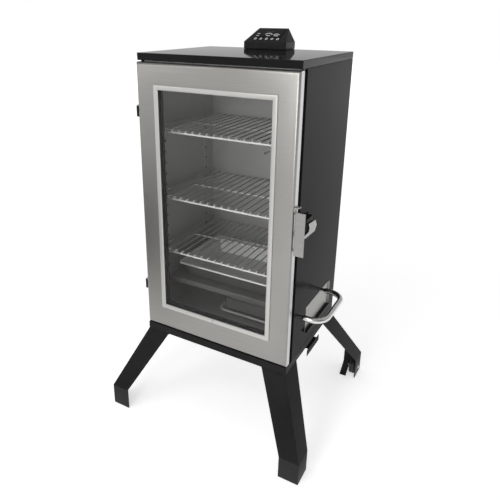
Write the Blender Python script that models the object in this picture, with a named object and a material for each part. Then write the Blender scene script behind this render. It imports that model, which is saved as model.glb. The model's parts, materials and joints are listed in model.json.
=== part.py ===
"""Electric cabinet smoker: insulated cabinet on four splayed legs, glazed door, digital controller.

Metres, +Z up. The origin is on the floor below the middle of the four feet, -Y is the door side.
Every sub-part is one closed object. Pieces that move hang from an empty on their joint's axis.
"""
import math

import bmesh
import bpy
from mathutils import Matrix, Vector

# ---- driving dimensions -------------------------------------------------------------------------
GAP = 0.0003            # clearance between touching pieces
SHEET = 0.0010          # sheet-metal thickness

WIDTH = 0.425           # cabinet, side to side
FRONT_Y = -0.1565       # front of the cabinet's jamb
REAR_Y = 0.1605
BASE_FRONT_Y = -0.1795  # the base runs forward under the door
BASE_Z = 0.2375         # underside of the cabinet, on its legs
BASE_HEIGHT = 0.021
CAP_Z = 0.9785          # underside of the top cap
CAP_HEIGHT = 0.0175
CAP_FRONT_Y = -0.1735

CHAMBER_X = 0.194       # half width of the smoking chamber
CHAMBER_REAR_Y = 0.1425
CHAMBER_Z = (0.275, 0.954)

DOOR_X = 0.2122
DOOR_Z = (0.261, 0.9754)
DOOR_Y = (-0.1809, -0.1609)
WINDOW_X = (-0.1484, 0.1517)      # clear glass inside the trim
WINDOW_Z = (0.3343, 0.9127)
TRIM_WIDTH = 0.012

LEG_SPLAY_X = 0.079
LEG_REACH_Y = 0.261     # front and rear faces of the feet
LEG_KNEE_Z = 0.062
LEG_STEEL = 0.0025
LEG_FLANGE_TOP = (0.067, 0.070)   # widths of the front and side flange at the cabinet
LEG_FLANGE_FOOT = (0.0535, 0.056)

WHEEL_RADIUS = 0.024
WHEEL_X = (0.2685, 0.2865)
WHEEL_Y = 0.230
WHEEL_Z = 0.0265
AXLE_RADIUS = 0.0035

HANDLE_Y = {"left": (-0.085, 0.071), "right": (-0.128, 0.028)}
HANDLE_Z = 0.382
HANDLE_REACH_X = 0.2815

HINGE_X = -0.2185
HINGE_Y = -0.1700
HINGE_Z = {"top": 0.8425, "bottom": 0.3620}
HINGE_HEIGHT = 0.027
KNUCKLE_RADIUS = 0.005
PIN_RADIUS = 0.0025

LATCH_X = 0.2205
LATCH_Y = -0.1760
LATCH_Z = (0.5690, 0.6735)
CLAW_X = 0.2315
CLAW_Y = -0.1765

GRATE_X = 0.178
GRATE_Y = (-0.135, 0.137)
GRATE_WIRE = 0.005
GRATE_Z = {"top": 0.8035, "middle": 0.6255, "bottom": 0.4715}
PAN_X = 0.146
PAN_Y = (-0.088, 0.107)
PAN_RIM_Z = 0.4225

CHIP_Y = (-0.063, 0.107)          # face of the wood-chip drawer
CHIP_Z = (0.2975, 0.3715)
CHIP_TRAY_X = (-0.020, 0.2105)

DRIP_Y = (-0.038, 0.032)
DRIP_Z = (0.2095, 0.2295)
DRIP_X = (-0.100, 0.190)
DRIP_PULL_X = 0.217               # outer face of the plate that the drip tray is pulled by
DRIP_PULL_Y = (-0.044, 0.044)
DRIP_PULL_Z = 0.2115

PANEL_X = (-0.0700, 0.0525)       # controller, on top of the cap at the back
PANEL_Y = (0.102, 0.160)
PANEL_KNEE_Z = 1.0148
RIDGE_X = (-0.0490, 0.0350)
RIDGE_Y = (0.152, 0.156)
RIDGE_Z = 1.0485
BUTTON_RADIUS = 0.0055
BUTTON_PITCH = 0.0162
BUTTON_COUNT = 5
BUTTON_UP_SLOPE = 0.0122

VENT_Z = 0.900
VENT_RADIUS = 0.016
DAMPER_PIVOT_Z = 0.9300

SIDE_X = WIDTH / 2
CAP_TOP_Z = CAP_Z + CAP_HEIGHT
PANEL_SLOPE = math.atan2(RIDGE_Z - PANEL_KNEE_Z, RIDGE_Y[0] - PANEL_Y[0])


# ---- scene, materials and placing ---------------------------------------------------------------
def clear_scene():
    for old in list(bpy.data.objects):
        bpy.data.objects.remove(old, do_unlink=True)


def make_material(name, colour, roughness, metallic):
    material = bpy.data.materials.new(name)
    material.use_nodes = True
    shader = material.node_tree.nodes["Principled BSDF"]
    shader.inputs["Base Color"].default_value = (*colour, 1.0)
    shader.inputs["Roughness"].default_value = roughness
    shader.inputs["Metallic"].default_value = metallic
    material.diffuse_color = (*colour, 1.0)
    return material


FINISHES = {
    "brushed_steel": ((0.40, 0.39, 0.37), 0.34, 1.0),
    "satin_steel": ((0.60, 0.59, 0.56), 0.28, 1.0),
    "chrome": ((0.80, 0.80, 0.80), 0.08, 1.0),
    "gloss_black": ((0.012, 0.012, 0.013), 0.12, 0.0),
    "satin_black": ((0.030, 0.030, 0.031), 0.38, 0.0),
    "liner_steel": ((0.20, 0.20, 0.195), 0.42, 1.0),
    "rubber_black": ((0.018, 0.018, 0.018), 0.75, 0.0),
    "plastic_black": ((0.020, 0.020, 0.021), 0.36, 0.0),
    "button_grey": ((0.62, 0.62, 0.60), 0.45, 0.0),
    "mineral_wool": ((0.55, 0.50, 0.38), 0.95, 0.0),
    "clear_glass": ((0.16, 0.16, 0.16), 0.05, 0.0),
    "board_green": ((0.03, 0.16, 0.07), 0.50, 0.0),
    "element_steel": ((0.16, 0.13, 0.11), 0.50, 1.0),
}


def joint_empty(name, at, parent=None):
    """Empty on a joint's axis: what moves with the joint is parented to it."""
    empty = bpy.data.objects.new(name, None)
    empty.empty_display_size = 0.03
    bpy.context.scene.collection.objects.link(empty)
    empty.parent = parent
    empty.location = Vector(at) - (world_place(parent) if parent else Vector())
    return empty


def world_place(item):
    place = item.location.copy()
    while item.parent:
        item = item.parent
        place += item.location
    return place


def add_object(name, bm, finish, parent, at, turn=None, crease=None):
    """Object from a mesh in its own axes, placed at a world point, turned, and parented."""
    bmesh.ops.recalc_face_normals(bm, faces=bm.faces)
    mesh = bpy.data.meshes.new(name)
    bm.to_mesh(mesh)
    bm.free()
    if crease is not None:
        mesh.shade_smooth()
        mesh.set_sharp_from_angle(angle=math.radians(crease))
    mesh.materials.append(make_material(name, *FINISHES[finish]))
    item = bpy.data.objects.new(name, mesh)
    bpy.context.scene.collection.objects.link(item)
    item.parent = parent
    item.location = Vector(at) - world_place(parent)
    if turn:
        item.rotation_euler = turn
    return item


def add_piece(name, bm, finish, parent, origin=None, crease=None):
    """Object from a mesh drawn in world coordinates, with its origin at a point or at its middle."""
    if origin is None:
        lows = [min(v.co[k] for v in bm.verts) for k in range(3)]
        highs = [max(v.co[k] for v in bm.verts) for k in range(3)]
        origin = [(low + high) / 2 for low, high in zip(lows, highs)]
    bmesh.ops.translate(bm, verts=bm.verts, vec=-Vector(origin))
    return add_object(name, bm, finish, parent, origin, crease=crease)


def boolean(target, bm, operation):
    """Cut a mesh drawn in world coordinates out of the target, or join it on."""
    bmesh.ops.recalc_face_normals(bm, faces=bm.faces)
    number = len(target.modifiers) + 1
    mesh = bpy.data.meshes.new(f"{target.name}_tool_{number}")
    bm.to_mesh(mesh)
    bm.free()
    tool = bpy.data.objects.new(mesh.name, mesh)
    bpy.context.scene.collection.objects.link(tool)
    tool.hide_render = True
    tool.display_type = "WIRE"
    modifier = target.modifiers.new(f"{operation.lower()}_{number}", "BOOLEAN")
    modifier.object = tool
    modifier.operation = operation
    modifier.solver = "EXACT"


def cut(target, bm):
    boolean(target, bm, "DIFFERENCE")


def join(target, bm):
    boolean(target, bm, "UNION")


def bevel(target, width, segments=2):
    modifier = target.modifiers.new("bevel", "BEVEL")
    modifier.width = width
    modifier.segments = segments
    modifier.limit_method = "ANGLE"


# ---- mesh builders ------------------------------------------------------------------------------
def block(low, high):
    bm = bmesh.new()
    size = Vector(high) - Vector(low)
    middle = (Vector(high) + Vector(low)) / 2
    bmesh.ops.create_cube(bm, size=1.0, matrix=Matrix.Translation(middle) @ Matrix.Diagonal((*size, 1.0)))
    return bm


def loft(bm, rings, closed=False):
    """Skin a list of equal rings of points; the two ends are capped unless the rings close on themselves."""
    loops = [[bm.verts.new(point) for point in ring] for ring in rings]
    count = len(loops[0])
    pairs = list(zip(loops, loops[1:]))
    if closed:
        pairs.append((loops[-1], loops[0]))
    for lower, upper in pairs:
        for k in range(count):
            after = (k + 1) % count
            bm.faces.new((lower[k], lower[after], upper[after], upper[k]))
    if not closed:
        bm.faces.new(loops[0][::-1])
        bm.faces.new(loops[-1])
    return bm


def prism(outline, axis, low, high):
    """Extrude an outline along X, Y or Z. Its points are (y, z), (x, z) or (x, y)."""
    def place(point, along):
        first, second = point
        return {"X": (along, first, second), "Y": (first, along, second), "Z": (first, second, along)}[axis]
    return loft(bmesh.new(), [[place(p, low) for p in outline], [place(p, high) for p in outline]])


def arc(centre, radius, start, end, steps):
    """Points on an arc, in degrees, both ends included."""
    angles = [math.radians(start + (end - start) * k / steps) for k in range(steps + 1)]
    return [(centre[0] + radius * math.cos(a), centre[1] + radius * math.sin(a)) for a in angles]


def circle(centre, radius, segments):
    return arc(centre, radius, 0, 360, segments)[:-1]


def rectangle_loft(rings):
    """Loft of level rectangles, each (x low, x high, y low, y high, z)."""
    corners = [[(a, c, z), (b, c, z), (b, d, z), (a, d, z)] for a, b, c, d, z in rings]
    return loft(bmesh.new(), corners)


def standing_tray(x, z, y, fold, wall=SHEET):
    """Shallow tray standing with its face towards -Y; its bend is chamfered by fold in two facets."""
    front, back = y

    def ring(inset, at):
        return [(x[0] + inset, at, z[0] + inset), (x[1] - inset, at, z[0] + inset),
                (x[1] - inset, at, z[1] - inset), (x[0] + inset, at, z[1] - inset)]
    return loft(bmesh.new(), [ring(fold, front), ring(0.3 * fold, front + 0.3 * fold), ring(0.0, front + fold),
                              ring(0.0, back), ring(wall, back), ring(wall, front + fold + wall / 2),
                              ring(fold + wall / 2, front + wall)])


def pan(x, y, z, rim, taper=0.0, wall=SHEET):
    """Open-topped tray with a level rim; x, y and z are the body's outer size, rim its overhang."""
    x0, x1 = x
    y0, y1 = y
    z0, z1 = z
    rings = [(x0 + taper, x1 - taper, y0 + taper, y1 - taper, z0)]
    if rim:
        rings.append((x0, x1, y0, y1, z1 - wall))
        rings.append((x0 - rim, x1 + rim, y0 - rim, y1 + rim, z1 - wall))
    rings.append((x0 - rim, x1 + rim, y0 - rim, y1 + rim, z1))
    rings.append((x0 + wall, x1 - wall, y0 + wall, y1 - wall, z1))
    inner = taper + wall
    rings.append((x0 + inner, x1 - inner, y0 + inner, y1 - inner, z0 + wall))
    return rectangle_loft(rings)


def turned(profile, segments, axis, at, closed=False):
    """Turn a profile of (radius, distance along the axis) about a line through a point."""
    bm = bmesh.new()
    angles = [2 * math.pi * k / segments for k in range(segments)]
    rings = [[(r * math.cos(a), r * math.sin(a), h) for a in angles] for r, h in profile]
    loft(bm, rings, closed)
    turn = Vector((0, 0, 1)).rotation_difference(Vector(axis)).to_matrix().to_4x4()
    bmesh.ops.transform(bm, matrix=Matrix.Translation(at) @ turn, verts=bm.verts)
    return bm


def rod(start, end, radius, segments=12):
    along = Vector(end) - Vector(start)
    return turned([(radius, 0.0), (radius, along.length)], segments, along.normalized(), start)


def frame(outer_x, outer_z, inner_x, inner_z, y):
    """Flat rectangular frame standing in the XZ plane, from y[0] to y[1]."""
    def ring(x, z, at):
        return [(x[0], at, z[0]), (x[1], at, z[0]), (x[1], at, z[1]), (x[0], at, z[1])]
    rings = [ring(outer_x, outer_z, y[0]), ring(outer_x, outer_z, y[1]),
             ring(inner_x, inner_z, y[1]), ring(inner_x, inner_z, y[0])]
    return loft(bmesh.new(), rings, closed=True)


def rounded_path(corners, radius, steps):
    """Level path through the corners, each turn rounded to the given radius."""
    points = [Vector(corners[0])]
    for before, corner, after in zip(corners, corners[1:], corners[2:]):
        corner = Vector(corner)
        inward = (Vector(before) - corner).normalized()
        onward = (Vector(after) - corner).normalized()
        half = inward.angle(onward) / 2
        middle = corner + (inward + onward).normalized() * radius / math.sin(half)
        first = corner + inward * radius / math.tan(half) - middle
        last = corner + onward * radius / math.tan(half) - middle
        sweep = first.angle(last)
        normal = first.cross(last).normalized()
        for k in range(steps + 1):
            points.append(middle + Matrix.Rotation(sweep * k / steps, 3, normal) @ first)
    points.append(Vector(corners[-1]))
    return points


def level_tube(path, radii, segments):
    """Round tube along a level path, with a radius at each of its points."""
    up = Vector((0, 0, 1))
    angles = [2 * math.pi * k / segments for k in range(segments)]
    rings = []
    for k, point in enumerate(path):
        before = path[max(k - 1, 0)]
        after = path[min(k + 1, len(path) - 1)]
        side = (after - before).normalized().cross(up)
        rings.append([point + radii[k] * (side * math.cos(a) + up * math.sin(a)) for a in angles])
    return loft(bmesh.new(), rings)


def lattice(x_edges, y_edges, solid, z):
    """Level grid one layer thick: cell (i, j) between the edges is filled where solid says so."""
    bm = bmesh.new()
    corners = {}

    def corner(i, j, level):
        key = (i, j, level)
        if key not in corners:
            corners[key] = bm.verts.new((x_edges[i], y_edges[j], z[level]))
        return corners[key]

    def filled(i, j):
        return 0 <= i < len(x_edges) - 1 and 0 <= j < len(y_edges) - 1 and solid(i, j)

    sides = [(-1, 0, (0, 1), (0, 0)), (1, 0, (1, 0), (1, 1)), (0, -1, (0, 0), (1, 0)), (0, 1, (1, 1), (0, 1))]
    for i in range(len(x_edges) - 1):
        for j in range(len(y_edges) - 1):
            if not filled(i, j):
                continue
            square = [(i, j), (i + 1, j), (i + 1, j + 1), (i, j + 1)]
            bm.faces.new([corner(a, b, 1) for a, b in square])
            bm.faces.new([corner(a, b, 0) for a, b in reversed(square)])
            for di, dj, first, second in sides:
                if not filled(i + di, j + dj):
                    a = (i + first[0], j + first[1])
                    b = (i + second[0], j + second[1])
                    bm.faces.new((corner(*a, 0), corner(*b, 0), corner(*b, 1), corner(*a, 1)))
    return bm


# ---- cabinet shell ------------------------------------------------------------------------------
def chip_passage(x):
    """Opening for the chip drawer, a little larger than its face."""
    return block((x[0], CHIP_Y[0] - 0.002, CHIP_Z[0] - 0.002), (x[1], CHIP_Y[1] + 0.002, CHIP_Z[1] + 0.002))


def vent_passage(y):
    return rod((0, y[0], VENT_Z), (0, y[1], VENT_Z), VENT_RADIUS, 20)


def element_passage(y):
    return block((-0.060, y[0], 0.2800), (0.0, y[1], 0.2940))


def build_shell(cabinet):
    inner_x = SIDE_X - SHEET
    ledge_y = FRONT_Y + SHEET
    base_top = BASE_Z + BASE_HEIGHT

    base = add_piece("base_pan", block((-SIDE_X, BASE_FRONT_Y, BASE_Z), (SIDE_X, REAR_Y, base_top)),
                     "satin_black", cabinet)
    bevel(base, 0.0008, 1)
    hollow = [(BASE_FRONT_Y + SHEET, BASE_Z + SHEET), (REAR_Y - SHEET, BASE_Z + SHEET),
              (REAR_Y - SHEET, base_top + 0.003), (ledge_y, base_top + 0.003),
              (ledge_y, base_top - SHEET), (BASE_FRONT_Y + SHEET, base_top - SHEET)]
    cut(base, prism(hollow, "X", -inner_x, inner_x))

    cap = add_piece("top_cap", block((-SIDE_X, CAP_FRONT_Y, CAP_Z), (SIDE_X, REAR_Y, CAP_TOP_Z)),
                    "gloss_black", cabinet)
    bevel(cap, 0.0008, 1)
    hollow = [(CAP_FRONT_Y + SHEET, CAP_TOP_Z - SHEET), (REAR_Y - SHEET, CAP_TOP_Z - SHEET),
              (REAR_Y - SHEET, CAP_Z - 0.003), (ledge_y, CAP_Z - 0.003),
              (ledge_y, CAP_Z + SHEET), (CAP_FRONT_Y + SHEET, CAP_Z + SHEET)]
    cut(cap, prism(hollow, "X", -inner_x, inner_x))

    wall_z = (base_top + GAP, CAP_Z - GAP)
    front = FRONT_Y + SHEET + GAP
    rear = REAR_Y - SHEET - GAP
    fold = 0.012
    for side, name in ((-1, "left_side_panel"), (1, "right_side_panel")):
        outline = [(SIDE_X, front), (SIDE_X, rear), (SIDE_X - fold, rear), (SIDE_X - fold, rear - SHEET),
                   (inner_x, rear - SHEET), (inner_x, front + SHEET), (SIDE_X - fold, front + SHEET),
                   (SIDE_X - fold, front)]
        panel = add_piece(name, prism([(side * x, y) for x, y in outline], "Z", *wall_z), "satin_black", cabinet)
        if side > 0:
            cut(panel, chip_passage((inner_x - 0.001, SIDE_X + 0.002)))

    back = add_piece("rear_panel", block((-SIDE_X, REAR_Y - SHEET, wall_z[0]), (SIDE_X, REAR_Y, wall_z[1])),
                     "satin_black", cabinet)
    cut(back, vent_passage((REAR_Y - 0.01, REAR_Y + 0.01)))


def build_liner(cabinet):
    """Chamber lining with its jamb flange, and the wool between it and the outer panels."""
    x = CHAMBER_X
    z0, z1 = CHAMBER_Z
    liner = add_piece("inner_liner", block((-x - SHEET, FRONT_Y + SHEET / 2, z0 - SHEET),
                                           (x + SHEET, CHAMBER_REAR_Y + SHEET, z1 + SHEET)), "liner_steel", cabinet)
    jamb = block((-SIDE_X, FRONT_Y, BASE_Z + BASE_HEIGHT + 0.0005), (SIDE_X, FRONT_Y + SHEET, CAP_Z - 0.0005))
    join(liner, jamb)
    cut(liner, block((-x, FRONT_Y - 0.01, z0), (x, CHAMBER_REAR_Y, z1)))
    cut(liner, chip_passage((x - 0.005, x + 0.005)))
    cut(liner, vent_passage((CHAMBER_REAR_Y - 0.01, CHAMBER_REAR_Y + 0.01)))
    cut(liner, element_passage((CHAMBER_REAR_Y - 0.01, CHAMBER_REAR_Y + 0.01)))

    fit = 0.0005
    wool_rear = REAR_Y - 2 * SHEET - GAP - fit
    wool = add_piece("insulation_blanket",
                     block((-SIDE_X + SHEET + fit, FRONT_Y + 0.0028, BASE_Z + SHEET + fit),
                           (SIDE_X - SHEET - fit, wool_rear, CAP_TOP_Z - SHEET - fit)), "mineral_wool", cabinet)
    lining = SHEET + fit
    cut(wool, block((-x - lining, FRONT_Y - 0.01, z0 - lining), (x + lining, CHAMBER_REAR_Y + lining, z1 + lining)))
    cut(wool, chip_passage((x - 0.005, SIDE_X + 0.005)))
    cut(wool, vent_passage((CHAMBER_REAR_Y - 0.01, REAR_Y + 0.01)))
    cut(wool, element_passage((CHAMBER_REAR_Y - 0.01, REAR_Y + 0.01)))


# ---- legs, wheels and handles -------------------------------------------------------------------
def leg_section(corner, flanges, side, end):
    """Horizontal L section of a leg; side and end point away from the cabinet along X and Y."""
    x, y, z = corner
    wide, deep = flanges
    steps = [(0, 0), (wide, 0), (wide, LEG_STEEL), (LEG_STEEL, LEG_STEEL), (LEG_STEEL, deep), (0, deep)]
    return [(x - side * dx, y - end * dy, z) for dx, dy in steps]


def build_leg(name, side, end, cabinet):
    base_y = BASE_FRONT_Y if end < 0 else REAR_Y
    foot_x = side * (SIDE_X + LEG_SPLAY_X)
    top = BASE_Z - GAP
    stations = [((side * SIDE_X, base_y, top - GAP), LEG_FLANGE_TOP),
                ((foot_x, end * LEG_REACH_Y, LEG_KNEE_Z), LEG_FLANGE_FOOT),
                ((foot_x, end * LEG_REACH_Y, 0.0), LEG_FLANGE_FOOT)]
    rings = [leg_section(corner, flanges, side, end) for corner, flanges in stations]
    leg = add_piece(name, loft(bmesh.new(), rings), "satin_black", cabinet)
    inner = (side * (SIDE_X - LEG_FLANGE_TOP[0]), base_y - end * LEG_FLANGE_TOP[1])
    low = (min(side * SIDE_X, inner[0]), min(base_y, inner[1]), top - LEG_STEEL)
    high = (max(side * SIDE_X, inner[0]), max(base_y, inner[1]), top)
    join(leg, block(low, high))
    return leg


def skid_y(z, height=0.066, sweep=0.058):
    """Rear face of the skid that carries a wheel: upright against the leg, swept forward to the floor."""
    return LEG_REACH_Y - 0.002 - sweep * ((height - z) / height) ** 1.7


def add_wheel_carrier(leg, side):
    """Skid strip and axle cheek welded inside a rear leg, and the axle hole through cheek and flange."""
    heights = [0.0005 + 0.0655 * k / 8 for k in range(9)]
    strip = 0.0028
    outline = [(skid_y(z), z) for z in heights] + [(skid_y(z) - strip, z) for z in reversed(heights)]
    join(leg, prism(outline, "X", *sorted((side * 0.244, side * 0.264))))
    join(leg, prism(circle((WHEEL_Y, WHEEL_Z), 0.011, 16), "X", *sorted((side * 0.262, side * 0.264))))
    cut(leg, rod((side * 0.255, WHEEL_Y, WHEEL_Z), (side * 0.300, WHEEL_Y, WHEEL_Z), AXLE_RADIUS + 0.0006, 12))


def build_legs(cabinet):
    for end, end_name in ((-1, "front"), (1, "rear")):
        for side, side_name in ((-1, "left"), (1, "right")):
            leg = build_leg(f"leg_{end_name}_{side_name}", side, end, cabinet)
            if end > 0:
                add_wheel_carrier(leg, side)


def build_wheel(side, side_name, cabinet):
    outer = SIDE_X + LEG_SPLAY_X
    at = (side * outer, WHEEL_Y, WHEEL_Z)
    head = [(0.0045, 0.0034), (0.0062, 0.0022), (0.0062, GAP), (AXLE_RADIUS, GAP), (AXLE_RADIUS, -0.0305)]
    add_piece(f"axle_{side_name}", turned(head, 12, (side, 0, 0), at), "satin_steel", cabinet, crease=40)

    middle = (WHEEL_X[0] + WHEEL_X[1]) / 2
    half = (WHEEL_X[1] - WHEEL_X[0]) / 2
    bore = AXLE_RADIUS + 0.0005
    tyre = WHEEL_RADIUS
    profile = [(bore, -half), (0.009, -half), (0.010, -0.004), (tyre - 0.006, -0.004), (tyre - 0.004, -half + 0.001),
               (tyre - 0.002, -half + 0.001), (tyre, -half + 0.004)]
    profile += [(r, -h) for r, h in reversed(profile)]
    spin = joint_empty(f"wheel_{side_name}_axis", (side * middle, WHEEL_Y, WHEEL_Z), cabinet)
    add_piece(f"wheel_{side_name}", turned(profile, 24, (1, 0, 0), (side * middle, WHEEL_Y, WHEEL_Z), closed=True),
              "rubber_black", spin, origin=(side * middle, WHEEL_Y, WHEEL_Z), crease=40)


def build_handle(side, side_name, cabinet):
    """Level loop: thin rod ends at the panel, thick grip along the outside."""
    start = side * (SIDE_X + GAP)
    reach = side * HANDLE_REACH_X
    y0, y1 = HANDLE_Y[side_name]
    corners = [(start, y0, HANDLE_Z), (reach, y0, HANDLE_Z), (reach, y1, HANDLE_Z), (start, y1, HANDLE_Z)]
    path = rounded_path(corners, 0.036, 5)
    neck = side * 0.016
    neck_in = Vector((start + neck, y0, HANDLE_Z))
    neck_out = Vector((start + neck, y1, HANDLE_Z))
    shoulder = Vector((side * 0.003, 0, 0))
    path = [path[0], neck_in, neck_in + shoulder, *path[1:-1], neck_out + shoulder, neck_out, path[-1]]
    radii = [0.0048, 0.0048] + [0.0078] * (len(path) - 4) + [0.0048, 0.0048]
    add_piece(f"handle_{side_name}", level_tube(path, radii, 10), "chrome", cabinet, crease=50)


# ---- inside the chamber -------------------------------------------------------------------------
def build_grate(level, z, cabinet):
    """Cooking grate: border wire, long bars and cross wires in one layer."""
    wires, bars = 15, 4

    def edges(low, high, count):
        step = (high - low - GRATE_WIRE) / (count - 1)
        places = []
        for k in range(count):
            places += [low + k * step, low + k * step + GRATE_WIRE]
        return places

    x_edges = edges(-GRATE_X, GRATE_X, wires)
    y_edges = edges(*GRATE_Y, bars)
    half = GRATE_WIRE / 2
    mesh = lattice(x_edges, y_edges, lambda i, j: i % 2 == 0 or j % 2 == 0, (z - half, z + half))
    add_piece(f"grate_{level}", mesh, "chrome", cabinet)


def build_rack(side, side_name, cabinet):
    """Side rack: two uprights on the chamber wall, with a ledge for each grate and for the water pan."""
    wall = side * (CHAMBER_X - GAP)
    upright = side * (CHAMBER_X - 0.003)
    ledge = side * (GRATE_X - 0.002)
    pan_ledge = side * (PAN_X + 0.005)
    low_z, high_z = 0.395, 0.822

    def post(y):
        return block((min(wall, upright), y - 0.006, low_z), (max(wall, upright), y + 0.006, high_z))

    rack = add_piece(f"rack_{side_name}", post(-0.100), "satin_steel", cabinet)
    join(rack, post(0.100))
    tops = [(z - GRATE_WIRE / 2 - GAP, ledge) for z in GRATE_Z.values()] + [(PAN_RIM_Z - SHEET - GAP, pan_ledge)]
    for top, reach in tops:
        join(rack, block((min(wall, reach), -0.125, top - 0.002), (max(wall, reach), 0.125, top)))


def build_chamber(cabinet):
    for level, z in GRATE_Z.items():
        build_grate(level, z, cabinet)
    for side, side_name in ((-1, "left"), (1, "right")):
        build_rack(side, side_name, cabinet)

    add_piece("water_pan", pan((-PAN_X, PAN_X), PAN_Y, (PAN_RIM_Z - 0.038, PAN_RIM_Z), 0.012, 0.010),
              "satin_steel", cabinet)

    floor_z = 0.3755
    front = -0.101
    outline = [(front, floor_z + SHEET), (0.125, floor_z + SHEET), (0.125, floor_z), (front + SHEET, floor_z),
               (front + SHEET, floor_z - 0.0135), (front, floor_z - 0.0135)]
    edge = CHAMBER_X - 0.0004
    add_piece("smoke_deflector", prism(outline, "X", -edge, edge), "satin_steel", cabinet)

    element_z = 0.287
    corners = [(-0.050, 0.150), (-0.050, -0.060), (0.120, -0.060), (0.120, 0.060), (-0.010, 0.060), (-0.010, 0.150)]
    path = rounded_path([(x, y, element_z) for x, y in corners], 0.018, 4)
    add_piece("heating_element", level_tube(path, [0.0035] * len(path), 8), "element_steel", cabinet, crease=60)
    mount = add_piece("element_mount", block((-0.070, CHAMBER_REAR_Y - 0.0033, 0.2765),
                                             (0.010, CHAMBER_REAR_Y - GAP, 0.2985)), "satin_steel", cabinet)
    for x in (-0.050, -0.010):
        cut(mount, rod((x, 0.10, element_z), (x, 0.16, element_z), 0.0042, 12))

    guide_floor, guide_top = 0.2985, 0.3300
    y0, y1 = CHIP_Y[0] + 0.003, CHIP_Y[1] - 0.003
    outline = [(y0, guide_floor), (y1, guide_floor), (y1, guide_top), (y1 - SHEET, guide_top),
               (y1 - SHEET, guide_floor + SHEET), (y0 + SHEET, guide_floor + SHEET), (y0 + SHEET, guide_top),
               (y0, guide_top)]
    add_piece("chip_tray_guide", prism(outline, "X", -0.030, CHAMBER_X - 0.001), "satin_steel", cabinet)

    probe = [(0.0085, 0.0), (0.0085, 0.0020), (0.0030, 0.0020), (0.0030, 0.0400), (0.0015, 0.0420)]
    add_piece("temperature_sensor", turned(probe, 12, (0, -1, 0), (0, CHAMBER_REAR_Y - GAP, 0.715)),
              "satin_steel", cabinet, crease=40)


# ---- drawers ------------------------------------------------------------------------------------
def build_chip_drawer(cabinet):
    slide = joint_empty("chip_drawer_slide", (SIDE_X, sum(CHIP_Y) / 2, sum(CHIP_Z) / 2), cabinet)
    add_piece("chip_tray", pan(CHIP_TRAY_X, (CHIP_Y[0] + 0.007, CHIP_Y[1] - 0.007), (0.302, 0.366), 0.0),
              "satin_steel", slide)
    back, front, lip = SIDE_X - 0.0012, SIDE_X + GAP, SIDE_X + 0.0085
    z0, z1 = CHIP_Z
    outline = [(back, z1), (front, z1), (front, z0 + 0.0015), (lip, z0 + 0.0015), (lip, z0), (back, z0)]
    add_piece("chip_tray_face", prism(outline, "Y", *CHIP_Y), "brushed_steel", slide)


def build_drip_tray(cabinet):
    rim = 0.004
    slide = joint_empty("drip_tray_slide", (SIDE_X, sum(DRIP_Y) / 2, DRIP_Z[1]), cabinet)
    tray = add_piece("drip_tray", pan(DRIP_X, DRIP_Y, DRIP_Z, rim), "satin_black", slide)
    wall = 0.0015
    tongue_y = (DRIP_Y[0] + rim, DRIP_Y[1] - rim)
    join(tray, block((DRIP_X[1], tongue_y[0], DRIP_Z[1] - wall), (DRIP_PULL_X - wall / 2, tongue_y[1], DRIP_Z[1])))
    join(tray, block((DRIP_PULL_X - wall, DRIP_PULL_Y[0], DRIP_PULL_Z), (DRIP_PULL_X, DRIP_PULL_Y[1], DRIP_Z[1])))

    top = BASE_Z - GAP
    lip_z = DRIP_Z[1] - 0.0033
    y0, y1 = DRIP_Y[0] - rim - 0.002, DRIP_Y[1] + rim + 0.002
    lip = rim + 0.002 + wall - 0.0005
    outline = [(y0 - wall, top), (y0 - wall, lip_z), (y0 - wall + lip, lip_z), (y0 - wall + lip, lip_z + 0.0012),
               (y0, lip_z + 0.0012), (y0, top - wall), (y1, top - wall), (y1, lip_z + 0.0012),
               (y1 + wall - lip, lip_z + 0.0012), (y1 + wall - lip, lip_z), (y1 + wall, lip_z), (y1 + wall, top)]
    add_piece("drip_tray_rails", prism(outline, "X", -0.105, 0.206), "satin_black", cabinet)


# ---- controller ---------------------------------------------------------------------------------
def slope_point(x, up_slope, out=0.0):
    """Point on the controller's sloping face, up_slope from its lower edge and out along its normal."""
    along = Vector((0, math.cos(PANEL_SLOPE), math.sin(PANEL_SLOPE)))
    normal = Vector((0, -math.sin(PANEL_SLOPE), math.cos(PANEL_SLOPE)))
    return Vector((x, PANEL_Y[0], PANEL_KNEE_Z)) + along * up_slope + normal * out


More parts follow.
